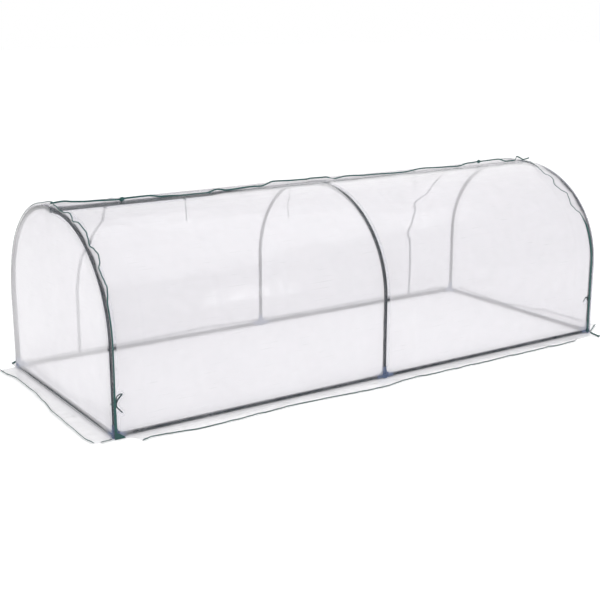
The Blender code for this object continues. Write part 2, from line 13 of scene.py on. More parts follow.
import bmesh
import bpy
from mathutils import Matrix, Vector, noise


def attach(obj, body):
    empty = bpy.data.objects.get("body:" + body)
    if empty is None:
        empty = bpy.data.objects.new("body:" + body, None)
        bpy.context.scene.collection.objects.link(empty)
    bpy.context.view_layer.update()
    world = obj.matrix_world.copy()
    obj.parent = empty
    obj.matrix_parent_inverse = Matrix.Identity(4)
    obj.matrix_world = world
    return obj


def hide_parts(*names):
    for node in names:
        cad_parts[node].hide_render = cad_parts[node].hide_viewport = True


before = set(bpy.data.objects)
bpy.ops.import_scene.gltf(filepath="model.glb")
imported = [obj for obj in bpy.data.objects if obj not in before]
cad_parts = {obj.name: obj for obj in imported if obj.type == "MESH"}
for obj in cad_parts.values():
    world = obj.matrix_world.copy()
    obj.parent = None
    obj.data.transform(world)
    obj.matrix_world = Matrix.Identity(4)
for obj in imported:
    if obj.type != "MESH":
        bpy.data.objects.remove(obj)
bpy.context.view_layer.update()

LOG = logging.getLogger("row_cover_tunnel")
SMOOTH_ANGLE = math.radians(40)
UP = Vector((0, 0, 1))
Setting = float | int | bool | str | Sequence[float] | bpy.types.NodeSocket


class Side(Enum):
    """The two ends of the tunnel, or its front and back, as a sign on an axis."""

    LOW = -1
    HIGH = 1


@dataclass(frozen=True)
class TunnelSizes:
    """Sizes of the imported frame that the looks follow."""

    half_length: float = 1.25
    half_width: float = 0.502
    rail_height: float = 0.0105
    leg_height: float = 0.341
    arch_rise: float = 0.425
    arch_lead: float = 0.042
    pipe_radius: float = 0.008
    film_level: float = 0.0111
    fit_gap: float = 0.0003
    door_half: float = 0.96
    fold_distance: float = 0.045
    leg_joint: float = 0.262
    film: float = 0.0004

    @property
    def spring_height(self) -> float:
        """Height where the hoop starts to bend."""
        return self.rail_height + self.leg_height

    @property
    def ridge_height(self) -> float:
        """Height of the ridge tube's axis."""
        return self.spring_height + self.arch_rise

    @property
    def cover_end(self) -> float:
        """How far the cover's long walls reach along X."""
        return self.half_length + self.film_level


SIZES = TunnelSizes()


def linear(shade: str) -> tuple[float, float, float, float]:
    """Turn an sRGB hex colour into linear values.

    Args:
        shade: The colour as six hex digits, with or without a leading hash.

    Returns:
        Linear red, green and blue, and an alpha of one.
    """
    digits = shade.lstrip("#")
    parts = [int(digits[start:start + 2], 16) / 255 for start in (0, 2, 4)]
    values = [part / 12.92 if part <= 0.04045 else ((part + 0.055) / 1.055) ** 2.4
              for part in parts]
    return (*values, 1.0)


def add(tree: bpy.types.NodeTree, kind: str, inputs: dict[str | int, Setting] | None = None,
        **settings: Setting) -> bpy.types.Node:
    """Add a shader node, with its settings, its plain values and its links.

    Args:
        tree: The node tree to add to.
        kind: The node's type, without the word ShaderNode.
        inputs: Values or output sockets, by the name or number of the input that takes them.
        **settings: Attributes of the node, such as operation or blend_type.

    Returns:
        The new node.
    """
    node = tree.nodes.new("ShaderNode" + kind)
    for name, value in settings.items():
        setattr(node, name, value)
    for socket, value in (inputs or {}).items():
        if isinstance(value, bpy.types.NodeSocket):
            tree.links.new(value, node.inputs[socket])
        else:
            node.inputs[socket].default_value = value
    return node


def spread(low: float, high: float, steps: int) -> list[float]:
    """Return evenly spaced values from low to high, one more than there are steps."""
    return [low + (high - low) * step / steps for step in range(steps + 1)]


def ease(low: float, high: float, value: float) -> float:
    """Return a smooth step from 0 at low to 1 at high, which may be the lesser of the two."""
    part = min(max((value - low) / (high - low), 0.0), 1.0)
    return part * part * (3 - 2 * part)


def read_table(table: Sequence[tuple[float, float]], place: float) -> float:
    """Read a table of (place, value) pairs with smooth turns at its entries.

    Args:
        table: The pairs, in rising order of place.
        place: Where to read it. Beyond an end, that end's value holds.

    Returns:
        The value there.
    """
    if place <= table[0][0]:
        return table[0][1]
    for (near, low), (far, high) in zip(table, table[1:]):
        if place <= far:
            return low + (high - low) * ease(near, far, place)
    return table[-1][1]


def ripple(x: float, y: float, seed: float) -> float:
    """Return smooth noise from about -1 to 1 at a place on a flat sheet."""
    return noise.noise(Vector((x, y, seed)))


class HoopLine:
    """The cross-section line at an even distance outside the hoops, from ridge to ground."""

    def __init__(self, level: float) -> None:
        """Lay out the line.

        Args:
            level: Distance of the line outside the hoops' axis.
        """
        reach = SIZES.half_width - SIZES.arch_lead
        top = Vector((0, SIZES.ridge_height + level))
        self.points = [top]
        self.normals = [Vector((0, 1))]
        for angle in spread(math.pi / 2, 0, 180):
            normal = Vector((math.cos(angle) / reach, math.sin(angle) / SIZES.arch_rise))
            normal.normalize()
            place = Vector((SIZES.arch_lead + reach * math.cos(angle),
                            SIZES.spring_height + SIZES.arch_rise * math.sin(angle)))
            self.points.append(place + normal * level)
            self.normals.append(normal)
        self.points.append(Vector((SIZES.half_width + level, 0)))
        self.normals.append(Vector((1, 0)))
        self.walked = [0.0]
        for near, far in zip(self.points, self.points[1:]):
            self.walked.append(self.walked[-1] + (far - near).length)

    @property
    def length(self) -> float:
        """The whole walk from the ridge to the ground."""
        return self.walked[-1]

    def at(self, walked: float) -> tuple[Vector, Vector]:
        """Return the place and the outward direction after a walk from the ridge.

        Args:
            walked: The distance along the line.

        Returns:
            Two vectors, each (out, height).
        """
        walked = min(max(walked, 0.0), self.length)
        low, high = 0, len(self.walked) - 1
        while high - low > 1:
            middle = (low + high) // 2
            if self.walked[middle] <= walked:
                low = middle
            else:
                high = middle
        part = (walked - self.walked[low]) / (self.walked[high] - self.walked[low])
        place = self.points[low].lerp(self.points[high], part)
        return place, self.normals[low].lerp(self.normals[high], part).normalized()


FILM_LINE = HoopLine(SIZES.film_level)


# Finishes

@dataclass(frozen=True)
class Finish:
    """One finish: a material, and the slot of the record that it stands for."""

    name: str
    slot: str

    def material(self) -> bpy.types.Material:
        """Return the finish's material, made on its first use."""
        found = bpy.data.materials.get(self.name)
        if found is None:
            found = bpy.data.materials.new(self.name)
            found.use_nodes = True
            found.node_tree.nodes.clear()
            shader = self.paint(found.node_tree)
            add(found.node_tree, "OutputMaterial", {"Surface": shader})
        return found

    def paint(self, tree: bpy.types.NodeTree) -> bpy.types.NodeSocket:
        """Lay out the finish's nodes and return the shader socket."""
        raise NotImplementedError


@dataclass(frozen=True)
class PlasticisedFilm(Finish):
    """Clear plasticised vinyl film, calendered: hazy at a distance, clear where it touches.

    The haze scatters what is behind the film forwards, so far tubes look pale through it. Where
    the film clings to a tube it wets out and looks clear, and its tint there is darkened as
    painted shade. Where it lies on the ground its tint and haze colour are lightened as painted
    light. The haze sits in the outer face. Packing leaves fine creases that catch the light.
    """

    name: str = "calendered_vinyl_film"
    slot: str = "clear_film"
    tint: str = "FAFAFB"
    # Darker see-through tint where the film clings to a tube or a tie: painted shade.
    cling_shade_tint: str = "F0F0F2"
    # Lighter tint where the film lies on the ground: painted light on the skirts.
    ground_light_tint: str = "FEFEFE"
    scatter: str = "ECEAEC"
    haze: float = 0.56
    haze_change: float = 0.04
    wet_haze: float = 0.1
    forward: float = 0.86
    crease_spacing: float = 0.02
    crumple_spacing: float = 0.006
    crumple: float = 5.0
    relief: float = 0.3
    gloss_roughness: float = 0.1
    straight_gloss: float = 0.045
    wet_gloss: float = 0.012
    wet_rim: float = 0.2
    wisp: float = 0.2

    def paint(self, tree: bpy.types.NodeTree) -> bpy.types.NodeSocket:
        """Lay out the film's nodes and return the shader socket."""
        cut = add(tree, "UVMap", uv_map="cut").outputs["UV"]
        cling = add(tree, "Attribute", attribute_name="cling").outputs["Fac"]
        drawn = add(tree, "Mapping", {"Vector": cut, "Scale": (0.45, 9.0, 1.0)}).outputs[0]
        streaks = add(tree, "TexNoise", {"Vector": drawn, "Scale": 0.35 / self.crease_spacing,
                                         "Detail": 3.0, "Roughness": 0.55, "Distortion": 0.15})
        crushed = add(tree, "TexNoise", {"Vector": cut, "Scale": 1 / self.crumple_spacing,
                                         "Detail": 2.0, "Distortion": 0.6})
        held = add(tree, "Math", {0: cling, 1: 3.0}, operation="POWER")
        weight = add(tree, "Math", {0: held.outputs[0], 1: self.crumple, 2: 0.35},
                     operation="MULTIPLY_ADD")
        crushed = add(tree, "Math", {0: crushed.outputs["Fac"], 1: weight.outputs[0]},
                      operation="MULTIPLY")
        relief = add(tree, "Math", {0: streaks.outputs["Fac"], 1: 2.0, 2: crushed.outputs[0]},
                     operation="MULTIPLY_ADD")
        bump = add(tree, "Bump", {"Height": relief.outputs[0], "Strength": self.relief,
                                  "Distance": 0.0012}).outputs[0]
        # Where the film clings to a tube or a tie, its see-through tint is darkened: painted
        # shade.
        tint = add(tree, "MixRGB", {0: cling, 1: linear(self.tint), 2: linear(self.cling_shade_tint)})
        # Share of the film lying on the ground, where its tint is lightened: painted light.
        ground_light = add(tree, "MapRange", {"Value": cling, "From Max": -1.0}).outputs[0]
        tint = add(tree, "MixRGB", {0: ground_light, 1: tint.outputs[0], 2: linear(self.ground_light_tint)})
        clear = add(tree, "BsdfTransparent", {"Color": tint.outputs[0]})
        body = self.body(tree, cut, cling, ground_light, clear.outputs[0])
        shine = add(tree, "BsdfGlossy", {"Color": (1, 1, 1, 1), "Normal": bump,
                                         "Roughness": self.gloss_roughness})
        slant = add(tree, "LayerWeight", {"Blend": 0.5, "Normal": bump}).outputs["Facing"]
        rise = add(tree, "Math", {0: slant, 1: 5.0}, operation="POWER").outputs[0]
        wisps = add(tree, "MapRange", {"Value": streaks.outputs["Fac"], "From Min": 0.64,
                                       "From Max": 0.78, "To Min": self.straight_gloss,
                                       "To Max": self.wisp})
        facing = add(tree, "MapRange", {"Value": cling, "To Min": wisps.outputs[0],
                                        "To Max": self.wet_gloss}).outputs[0]
        rim = add(tree, "MapRange", {"Value": cling, "To Min": 1.0, "To Max": self.wet_rim})
        mirror = add(tree, "MapRange", {"Value": rise, "To Min": facing,
                                        "To Max": rim.outputs[0]})
        skin = add(tree, "MixShader", {0: mirror.outputs[0], 1: body, 2: shine.outputs[0]})
        return skin.outputs[0]

    def body(self, tree: bpy.types.NodeTree, cut: bpy.types.NodeSocket,
             cling: bpy.types.NodeSocket, ground_light: bpy.types.NodeSocket,
             clear: bpy.types.NodeSocket) -> bpy.types.NodeSocket:
        """Mix the haze into the clear film and return the shader socket."""
        clouds = add(tree, "TexNoise", {"Vector": cut, "Scale": 3.2, "Detail": 3.0})
        patches = add(tree, "MapRange", {"Value": clouds.outputs["Fac"], "From Min": 0.35,
                                         "From Max": 0.7, "To Min": self.haze - self.haze_change,
                                         "To Max": self.haze + self.haze_change})
        left = add(tree, "MapRange", {"Value": cling, "To Min": 1.0, "To Max": self.wet_haze})
        haze = add(tree, "Math", {0: patches.outputs[0], 1: left.outputs[0]},
                   operation="MULTIPLY")
        # The haze colour is lightened where the film lies on the ground: painted light.
        haze_colour_with_ground_light = add(tree, "MixRGB", {0: ground_light, 1: linear(self.scatter),
                                    2: linear(self.ground_light_tint)})
        forward = add(tree, "BsdfTranslucent", {"Color": haze_colour_with_ground_light.outputs[0]})
        back = add(tree, "BsdfDiffuse", {"Color": haze_colour_with_ground_light.outputs[0]})
        veil = add(tree, "MixShader", {0: self.forward, 1: back.outputs[0],
                                       2: forward.outputs[0]})
        return add(tree, "MixShader", {0: haze.outputs[0], 1: clear,
                                       2: veil.outputs[0]}).outputs[0]


@dataclass(frozen=True)
class FilmInside(PlasticisedFilm):
    """The film's inner face, polished by the calender's roll: clear, and glossy as the outer."""

    name: str = "calendered_vinyl_inner_face"
    relief: float = 0.15

    def body(self, tree: bpy.types.NodeTree, cut: bpy.types.NodeSocket,
             cling: bpy.types.NodeSocket, ground_light: bpy.types.NodeSocket,
             clear: bpy.types.NodeSocket) -> bpy.types.NodeSocket:
        """Return the clear shader as it is."""
        return clear


@dataclass(frozen=True)
class PowderCoatedSteel(Finish):
    """Steel tube with a dark green powder coat: satin, with a faint orange peel."""

    name: str = "powder_coated_steel"
    slot: str = "tube_steel"
    coat: str = "202B30"
    worn: str = "404D55"
    peel_spacing: float = 0.004

    def paint(self, tree: bpy.types.NodeTree) -> bpy.types.NodeSocket:
        """Lay out the coat's nodes and return the shader socket."""
        place = add(tree, "TexCoord").outputs["Object"]
        peel = add(tree, "TexNoise", {"Vector": place, "Scale": 1 / self.peel_spacing,
                                      "Detail": 2.0})
        scuffs = add(tree, "TexNoise", {"Vector": place, "Scale": 45.0, "Detail": 5.0,
                                        "Roughness": 0.7})
        rubbed = add(tree, "MapRange", {"Value": scuffs.outputs["Fac"], "From Min": 0.5,
                                        "From Max": 0.75})
        colour = add(tree, "MixRGB", {0: rubbed.outputs[0], 1: linear(self.coat),
                                      2: linear(self.worn)})
        rough = add(tree, "MapRange", {"Value": scuffs.outputs["Fac"], "To Min": 0.24,
                                       "To Max": 0.46})
        bump = add(tree, "Bump", {"Height": peel.outputs["Fac"], "Strength": 0.25,
                                  "Distance": 0.0004})
        return add(tree, "BsdfPrincipled", {"Base Color": colour.outputs[0],
                                            "Roughness": rough.outputs[0], "IOR": 1.36,
                                            "Normal": bump.outputs[0]}).outputs[0]


@dataclass(frozen=True)
class MouldedPolypropylene(Finish):
    """Slate blue polypropylene, injection moulded: soft sheen over fine spark-eroded grain."""

    name: str = "moulded_polypropylene"
    slot: str = "connector_plastic"
    shade: str = "2C4467"
    pale: str = "6F86AB"
    grain_spacing: float = 0.0015

    def paint(self, tree: bpy.types.NodeTree) -> bpy.types.NodeSocket:
        """Lay out the plastic's nodes and return the shader socket."""
        place = add(tree, "TexCoord").outputs["Object"]
        flow = add(tree, "TexNoise", {"Vector": place, "Scale": 60.0, "Detail": 3.0})
        colour = add(tree, "MixRGB", {0: flow.outputs["Fac"], 1: linear(self.shade),
                                      2: linear(self.pale)})
        grain = add(tree, "TexNoise", {"Vector": place, "Scale": 1 / self.grain_spacing,
                                       "Detail": 2.0})
        rough = add(tree, "MapRange", {"Value": grain.outputs["Fac"], "To Min": 0.34,
                                       "To Max": 0.52})
        bump = add(tree, "Bump", {"Height": grain.outputs["Fac"], "Strength": 0.2,
                                  "Distance": 0.0002})
        return add(tree, "BsdfPrincipled", {"Base Color": colour.outputs[0],
                                            "Roughness": rough.outputs[0], "IOR": 1.49,
                                            "Normal": bump.outputs[0]}).outputs[0]


@dataclass(frozen=True)
class WovenTape(Finish):
    """Dark green polyester edging tape, plain woven: matt, with a soft sheen along its ribs.

    Its ribs are 0.6 mm apart on the real tape. They are drawn 2 mm apart, so that they show.
    """

    name: str = "woven_polyester_tape"
    slot: str = "binding_tape"
    shade: str = "2C645B"
    shadow: str = "1C4243"
    rib_spacing: float = 0.002

    def paint(self, tree: bpy.types.NodeTree) -> bpy.types.NodeSocket:
        """Lay out the tape's nodes and return the shader socket."""
        weave = add(tree, "Attribute", attribute_name="weave").outputs["Vector"]
        ribs = add(tree, "TexWave", {"Vector": weave, "Scale": 0.314 / self.rib_spacing,
                                     "Distortion": 1.2, "Detail": 1.0},
                   wave_type="BANDS", bands_direction="Y")
        fade = add(tree, "TexNoise", {"Vector": weave, "Scale": 30.0, "Detail": 3.0})
        # Darker between the ribs: painted shade in the weave's grooves, varied by a random fade.
        rib_shade_and_fade = add(tree, "Math", {0: ribs.outputs["Fac"], 1: fade.outputs["Fac"]},
                   operation="MULTIPLY")
        colour = add(tree, "MixRGB", {0: rib_shade_and_fade.outputs[0], 1: linear(self.shadow),
                                      2: linear(self.shade)})
        bump = add(tree, "Bump", {"Height": ribs.outputs["Fac"], "Strength": 0.5,
                                  "Distance": 0.0004})
        return add(tree, "BsdfPrincipled", {"Base Color": colour.outputs[0], "Roughness": 0.72,
                                            "Sheen Weight": 0.25, "Sheen Roughness": 0.4,
                                            "Normal": bump.outputs[0]}).outputs[0]


@dataclass(frozen=True)
class KnittedZipTape(Finish):
    """Knitted zip tape with a nylon coil along its inner edge, in pale grey."""

    name: str = "knitted_zip_tape"
    slot: str = "zip_tape"
    shade: str = "C6CBCC"
    coil: str = "AEB6B7"
    tooth_spacing: float = 0.004

    def paint(self, tree: bpy.types.NodeTree) -> bpy.types.NodeSocket:
        """Lay out the tape's nodes and return the shader socket."""
        weave = add(tree, "Attribute", attribute_name="weave").outputs["Vector"]
        teeth = add(tree, "TexWave", {"Vector": weave, "Scale": 0.314 / self.tooth_spacing},
                    wave_type="BANDS", bands_direction="Y")
        colour = add(tree, "MixRGB", {0: teeth.outputs["Fac"], 1: linear(self.shade),
                                      2: linear(self.coil)})
        bump = add(tree, "Bump", {"Height": teeth.outputs["Fac"], "Strength": 0.6,
                                  "Distance": 0.0006})
        return add(tree, "BsdfPrincipled", {"Base Color": colour.outputs[0], "Roughness": 0.6,
                                            "Normal": bump.outputs[0]}).outputs[0]


@dataclass(frozen=True)
class PlatedZinc(Finish):
    """Die-cast zinc with a nickel plate, tumbled: bright, with softened scratches."""

    name: str = "nickel_plated_zinc"
    slot: str = "zip_metal"
    shade: str = "B9BABC"

    def paint(self, tree: bpy.types.NodeTree) -> bpy.types.NodeSocket:
        """Lay out the metal's nodes and return the shader socket."""
        place = add(tree, "TexCoord").outputs["Object"]
        wear = add(tree, "TexNoise", {"Vector": place, "Scale": 300.0, "Detail": 4.0})
        rough = add(tree, "MapRange", {"Value": wear.outputs["Fac"], "To Min": 0.18,
                                       "To Max": 0.4})
        bump = add(tree, "Bump", {"Height": wear.outputs["Fac"], "Strength": 0.15,
                                  "Distance": 0.0002})
        return add(tree, "BsdfPrincipled", {"Base Color": linear(self.shade), "Metallic": 1.0,
                                            "Roughness": rough.outputs[0],
                                            "Normal": bump.outputs[0]}).outputs[0]


FILM = PlasticisedFilm()
FILM_INSIDE = FilmInside()
STEEL = PowderCoatedSteel()
PLASTIC = MouldedPolypropylene()
RIDGE_PLASTIC = MouldedPolypropylene(name="ridge_polypropylene", shade="2A373E", pale="4A5960")
TAPE = WovenTape()
ZIP_TAPE = KnittedZipTape()
ZINC = PlatedZinc()


# Making pieces

def install(name: str, shape: bmesh.types.BMesh, finish: Finish, body: str = "root",
            stands_for: Sequence[str] = ()) -> bpy.types.Object:
    """Turn a finished bmesh into a piece of the tunnel.

    Args:
        name: The piece's name.
        shape: The bmesh, in the row frame. It is freed.
        finish: The finish that the piece wears.
        body: The body that the piece rides on.
        stands_for: The frame's nodes that the piece replaces.

    Returns:
        The new object.
    """
    mesh = bpy.data.meshes.new(name)
    shape.to_mesh(mesh)
    shape.free()
    mesh.shade_smooth()
    mesh.set_sharp_from_angle(angle=SMOOTH_ANGLE)
    mesh.materials.append(finish.material())
    piece = bpy.data.objects.new(name, mesh)
    bpy.context.scene.collection.objects.link(piece)
    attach(piece, body)
    if stands_for:
        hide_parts(*stands_for)
    LOG.info("%s: %d faces on %s", name, len(mesh.polygons), body)
    return piece


def ring_frame(place: Vector, along: Vector, across: Vector, half_width: float,
               half_height: float) -> Matrix:
    """Return the matrix that puts a unit ring round a place on a line.

    Args:
        place: The ring's centre.
        along: The direction that the line runs in.
        across: Roughly the direction of the ring's width.
        half_width: Half of the ring's width.
        half_height: Half of its height.

    Returns:
        A matrix whose X axis is the width, Y the height and Z the line's direction.
    """
    ahead = along.normalized()
    level = (across - ahead * across.dot(ahead)).normalized()
    rise = ahead.cross(level)
    turn = Matrix((level * half_width, rise * half_height, ahead)).transposed().to_4x4()
    return Matrix.Translation(place) @ turn


def sweep(frames: Sequence[Matrix], sides: int, squareness: float = 0.0) -> bmesh.types.BMesh:
    """Draw a ring along a row of frames and close both ends.

    Args:
        frames: Placings of a unit ring, from ring_frame.
        sides: How many sides the ring has.
        squareness: 0 for a round ring, up to 1 for one with full corners.

    Returns:
        The closed body, with its lie across and along it in the vertex layer "weave".
    """
    shape = bmesh.new()
    weave = shape.verts.layers.float_vector.new("weave")
    bmesh.ops.create_circle(shape, cap_ends=True, segments=sides, radius=1.0)
    for vert in shape.verts:
        fullness = 1 + squareness * (1 / max(abs(vert.co.x), abs(vert.co.y)) - 1)
        vert.co = vert.co * fullness
        vert[weave] = Vector((vert.co.x * frames[0].col[0].length, 0, 0))
    bmesh.ops.transform(shape, matrix=frames[0], verts=shape.verts[:])
    loop = shape.edges[:]
    walked = 0.0
    for near, far in zip(frames, frames[1:]):
        walked += (far.translation - near.translation).length
        made = bmesh.ops.extrude_edge_only(shape, edges=loop)["geom"]
        verts = {item for item in made if isinstance(item, bmesh.types.BMVert)}
        loop = [item for item in made if isinstance(item, bmesh.types.BMEdge)
                and set(item.verts) <= verts]
        bmesh.ops.transform(shape, matrix=far @ near.inverted(), verts=list(verts))
        for vert in verts:
            vert[weave] = Vector((vert[weave].x, walked, 0))
    bmesh.ops.edgeloop_fill(shape, edges=loop)
    bmesh.ops.recalc_face_normals(shape, faces=shape.faces[:])
    return shape


def tangents(line: Sequence[Vector]) -> list[Vector]:
    """Return the direction of a line at each of its points."""
    ahead = list(line[1:]) + [line[-1] * 2 - line[-2]]
    behind = [line[0] * 2 - line[1]] + list(line[:-1])
    return [(far - near).normalized() for near, far in zip(behind, ahead)]


def carry(line: Sequence[Vector], across: Vector, half_width: float,
          half_height: float) -> list[Matrix]:
    """Return ring frames along a line, without a twist between neighbours.

    Args:
        line: The points of the line.
        across: Roughly the direction of the first ring's width.
        half_width: Half of the ring's width.
        half_height: Half of its height.

    Returns:
        A frame for each point.
    """
    frames = []
    for place, along in zip(line, tangents(line)):
        across = (across - along * across.dot(along)).normalized()
        frames.append(ring_frame(place, along, across, half_width, half_height))
    return frames


def merge(parts: Iterable[bmesh.types.BMesh]) -> bmesh.types.BMesh:
    """Put several bodies into one bmesh and free them."""
    whole = bmesh.new()
    for part in parts:
        scratch = bpy.data.meshes.new("scratch")
        part.to_mesh(scratch)
        part.free()
        whole.from_mesh(scratch)
        bpy.data.meshes.remove(scratch)
    return whole


@dataclass(frozen=True)
class Spot:
    """A point of a hung film: its place, its flat cut, and how closely it clings to a tube."""

    place: Vector
    cut: Vector
    cling: float = 0.0


Drape = Callable[[float, float], Spot]


@dataclass(frozen=True)
class Cut:
    """One flat cut of film: how finely it is divided, and how it hangs.

    The drape takes a share across and a share up, and gives the spot there.
    """

    columns: int
    rows: int
    drape: Drape


@dataclass(frozen=True)
class Sheet:
    """A hung sheet of film with its flat size."""

    piece: bpy.types.Object
    flat: tuple[float, float]
    area: float

    def declare(self, held: str, rests_on: Sequence[str],
                tapes: Sequence[bpy.types.Object] = ()) -> None:
        """Log the sheet's flat cut and its area."""
        LOG.info("%s: cut %.2f by %.2f m, %.3f square metres", self.piece.name, *self.flat,
                 self.area)


def hang(name: str, cuts: Sequence[Cut], stands_for: Sequence[str],
         body: str = "root") -> Sheet:
    """Hang one or more flat cuts of film as one piece and give them their thickness.

    Args:
        name: The piece's name.
        cuts: The flat cuts that are welded together.
        stands_for: The frame's nodes that the film replaces.
        body: The body that it rides on.

    Returns:
        The sheet.
    """
    shapes = []
    corners = []
    area = 0.0
    for cut in cuts:
        shape = bmesh.new()
        bmesh.ops.create_grid(shape, x_segments=cut.columns, y_segments=cut.rows, size=0.5)
        flat = shape.loops.layers.uv.new("cut")
        cling = shape.verts.layers.float.new("cling")
        for vert in shape.verts:
            spot = cut.drape(vert.co.x + 0.5, vert.co.y + 0.5)
            vert.co = spot.place
            vert[cling] = spot.cling
            for loop in vert.link_loops:
                loop[flat].uv = spot.cut
            corners.append(spot.cut)
        for face in shape.faces:
            spots = [loop[flat].uv for loop in face.loops]
            turns = zip(spots, spots[1:] + spots[:1])
            area += abs(sum(near.cross(far) for near, far in turns)) / 2
        shapes.append(shape)
    piece = install(name, merge(shapes), FILM, body, stands_for)
    wall = piece.modifiers.new("thickness", "SOLIDIFY")
    wall.thickness = SIZES.film
    wall.offset = 0
    wall.material_offset = 1
    piece.data.materials.append(FILM_INSIDE.material())
    spans = [max(spot[axis] for spot in corners) - min(spot[axis] for spot in corners)
             for axis in (0, 1)]
    return Sheet(piece, (spans[0], spans[1]), area)


@dataclass(frozen=True)
class Binding:
    """An edging tape, folded over a film's edge and sewn down."""

    width: float
    thickness: float

    def fold(self, line: Sequence[Vector], outward: Vector | Sequence[Vector],
             scales: Sequence[float] | None = None) -> bmesh.types.BMesh:
        """Fold a length of tape over an edge.

        Args:
            line: The film's edge.
            outward: Roughly the direction of the tape's width, for all points or for each.
            scales: The width's scale at each point.

        Returns:
            The tape's closed body.
        """
        ways = [outward] * len(line) if isinstance(outward, Vector) else outward
        frames = [ring_frame(place, along, way, self.width / 2 * scale, self.thickness / 2)
                  for place, along, way, scale
                  in zip(line, tangents(line), ways, scales or [1.0] * len(line))]
        return sweep(frames, 10, 0.6)

    def sew(self, name: str, folds: Sequence[bmesh.types.BMesh],
            stands_for: Sequence[str] = (), body: str = "root") -> bpy.types.Object:
        """Sew folded lengths of tape down as one piece.

        Args:
            name: The piece's name.
            folds: The lengths, from fold.
            stands_for: The frame's nodes that the tape replaces.
            body: The body that it rides on.

        Returns:
            The tape's object.
        """
        return install(name, merge(folds), TAPE, body, stands_for)


# The stage

@dataclass(frozen=True)
class Studio:
    """A plain white studio: a pale floor, soft lamps overhead and the photographer's camera."""

    floor_reach: float = 40.0
    floor_drop: float = 0.0008
    floor_shade: str = "F7F7F7"
    floor_glow: float = 0.14
    sky_light: float = 1.0
    sky_in_gloss: float = 0.84
    camera_place: tuple[float, float, float] = (-2.7965, -4.0513, 1.5201)
    camera_aim: tuple[float, float, float] = (0.5364, 0.8053, -0.2525)
    camera_lens: float = 66.417

    def build(self) -> None:
        """Set up the camera, the world, the floor and the lamps."""
        self.place_camera()
        self.light_world()
        self.lay_floor()
        self.hang_lamp("overhead", (0.4, -0.6, 3.4), (0, 0, 0.2), 3.6, 40)
        self.hang_lamp("window", (-3.6, -3.2, 2.6), (0, 0, 0.4), 2.2, 30)
        self.hang_lamp("far_fill", (3.4, 1.8, 2.4), (0, 0, 0.4), 4.4, 17)
        self.hang_lamp("sparkle", (1.4, -4.0, 1.5), (0, 0, 0.3), 0.5, 2.6)
        view = bpy.context.scene.view_settings
        view.view_transform = "Standard"
        bpy.context.scene.cycles.transparent_max_bounces = 40

    def place_camera(self) -> None:
        """Stand the camera where the photograph was taken from."""
        data = bpy.data.cameras.new("camera")
        data.lens = self.camera_lens
        data.clip_end = self.floor_reach * 2
        camera = bpy.data.objects.new("camera", data)
        camera.location = self.camera_place
        camera.rotation_euler = Vector(self.camera_aim).to_track_quat("-Z", "Y").to_euler()
        bpy.context.scene.collection.objects.link(camera)
        bpy.context.scene.camera = camera

    def light_world(self) -> None:
        """Make a white surround that shows as white and lights as a soft grey."""
        world = bpy.data.worlds.new("white_surround")
        world.use_nodes = True
        tree = world.node_tree
        tree.nodes.clear()
        path = add(tree, "LightPath")
        seen = add(tree, "Math", {0: path.outputs["Is Camera Ray"],
                                  1: path.outputs["Is Glossy Ray"]}, operation="MAXIMUM")
        seen = add(tree, "Math", {0: seen.outputs[0], 1: path.outputs["Is Transmission Ray"]},
                   operation="MAXIMUM")
        strength = add(tree, "MapRange", {"Value": seen.outputs[0], "To Min": self.sky_light,
                                          "To Max": 1.0})
        dimmed = add(tree, "MapRange", {"Value": path.outputs["Is Glossy Ray"], "To Min": 1.0,
                                        "To Max": self.sky_in_gloss})
        strength = add(tree, "Math", {0: strength.outputs[0], 1: dimmed.outputs[0]},
                       operation="MULTIPLY")
        white = add(tree, "Background", {"Color": (1, 1, 1, 1),
                                         "Strength": strength.outputs[0]})
        add(tree, "OutputWorld", {"Surface": white.outputs[0]})
        bpy.context.scene.world = world

    def lay_floor(self) -> None:
        """Lay a pale floor that shows as white and keeps the tunnel's shadow."""
        shape = bmesh.new()
        bmesh.ops.create_grid(shape, x_segments=1, y_segments=1, size=self.floor_reach)
        bmesh.ops.translate(shape, vec=(0, 0, -self.floor_drop), verts=shape.verts[:])
        mesh = bpy.data.meshes.new("floor")
        shape.to_mesh(mesh)
        shape.free()
        material = bpy.data.materials.new("studio_paper")
        material.use_nodes = True
        tree = material.node_tree
        tree.nodes.clear()
        path = add(tree, "LightPath")
        seen = add(tree, "Math", {0: path.outputs["Is Camera Ray"],
                                  1: path.outputs["Is Glossy Ray"]}, operation="MAXIMUM")
        seen = add(tree, "Math", {0: seen.outputs[0], 1: path.outputs["Is Transmission Ray"]},
                   operation="MAXIMUM")
        glow = add(tree, "Math", {0: seen.outputs[0], 1: self.floor_glow},
                   operation="MULTIPLY")
        paper = add(tree, "BsdfPrincipled", {"Base Color": linear(self.floor_shade),
                                             "Roughness": 0.9, "Specular IOR Level": 0.1,
                                             "Emission Color": (1, 1, 1, 1),
                                             "Emission Strength": glow.outputs[0]})
        add(tree, "OutputMaterial", {"Surface": paper.outputs[0]})
        mesh.materials.append(material)
        floor = bpy.data.objects.new("floor", mesh)
        bpy.context.scene.collection.objects.link(floor)

    def hang_lamp(self, name: str, place: tuple[float, float, float],
                  target: tuple[float, float, float], size: float, power: float) -> None:
        """Hang a soft square lamp that faces a target.

        Args:
            name: The lamp's name.
            place: Where it hangs.
            target: What it faces.
            size: The length of its side.
            power: Its power in watts.
        """
        data = bpy.data.lights.new(name, "AREA")
        data.size = size
        data.energy = power
        lamp = bpy.data.objects.new(name, data)
        lamp.location = place
        aim = Vector(target) - Vector(place)
        lamp.rotation_euler = aim.to_track_quat("-Z", "Y").to_euler()
        bpy.context.scene.collection.objects.link(lamp)


# Tubes and connectors

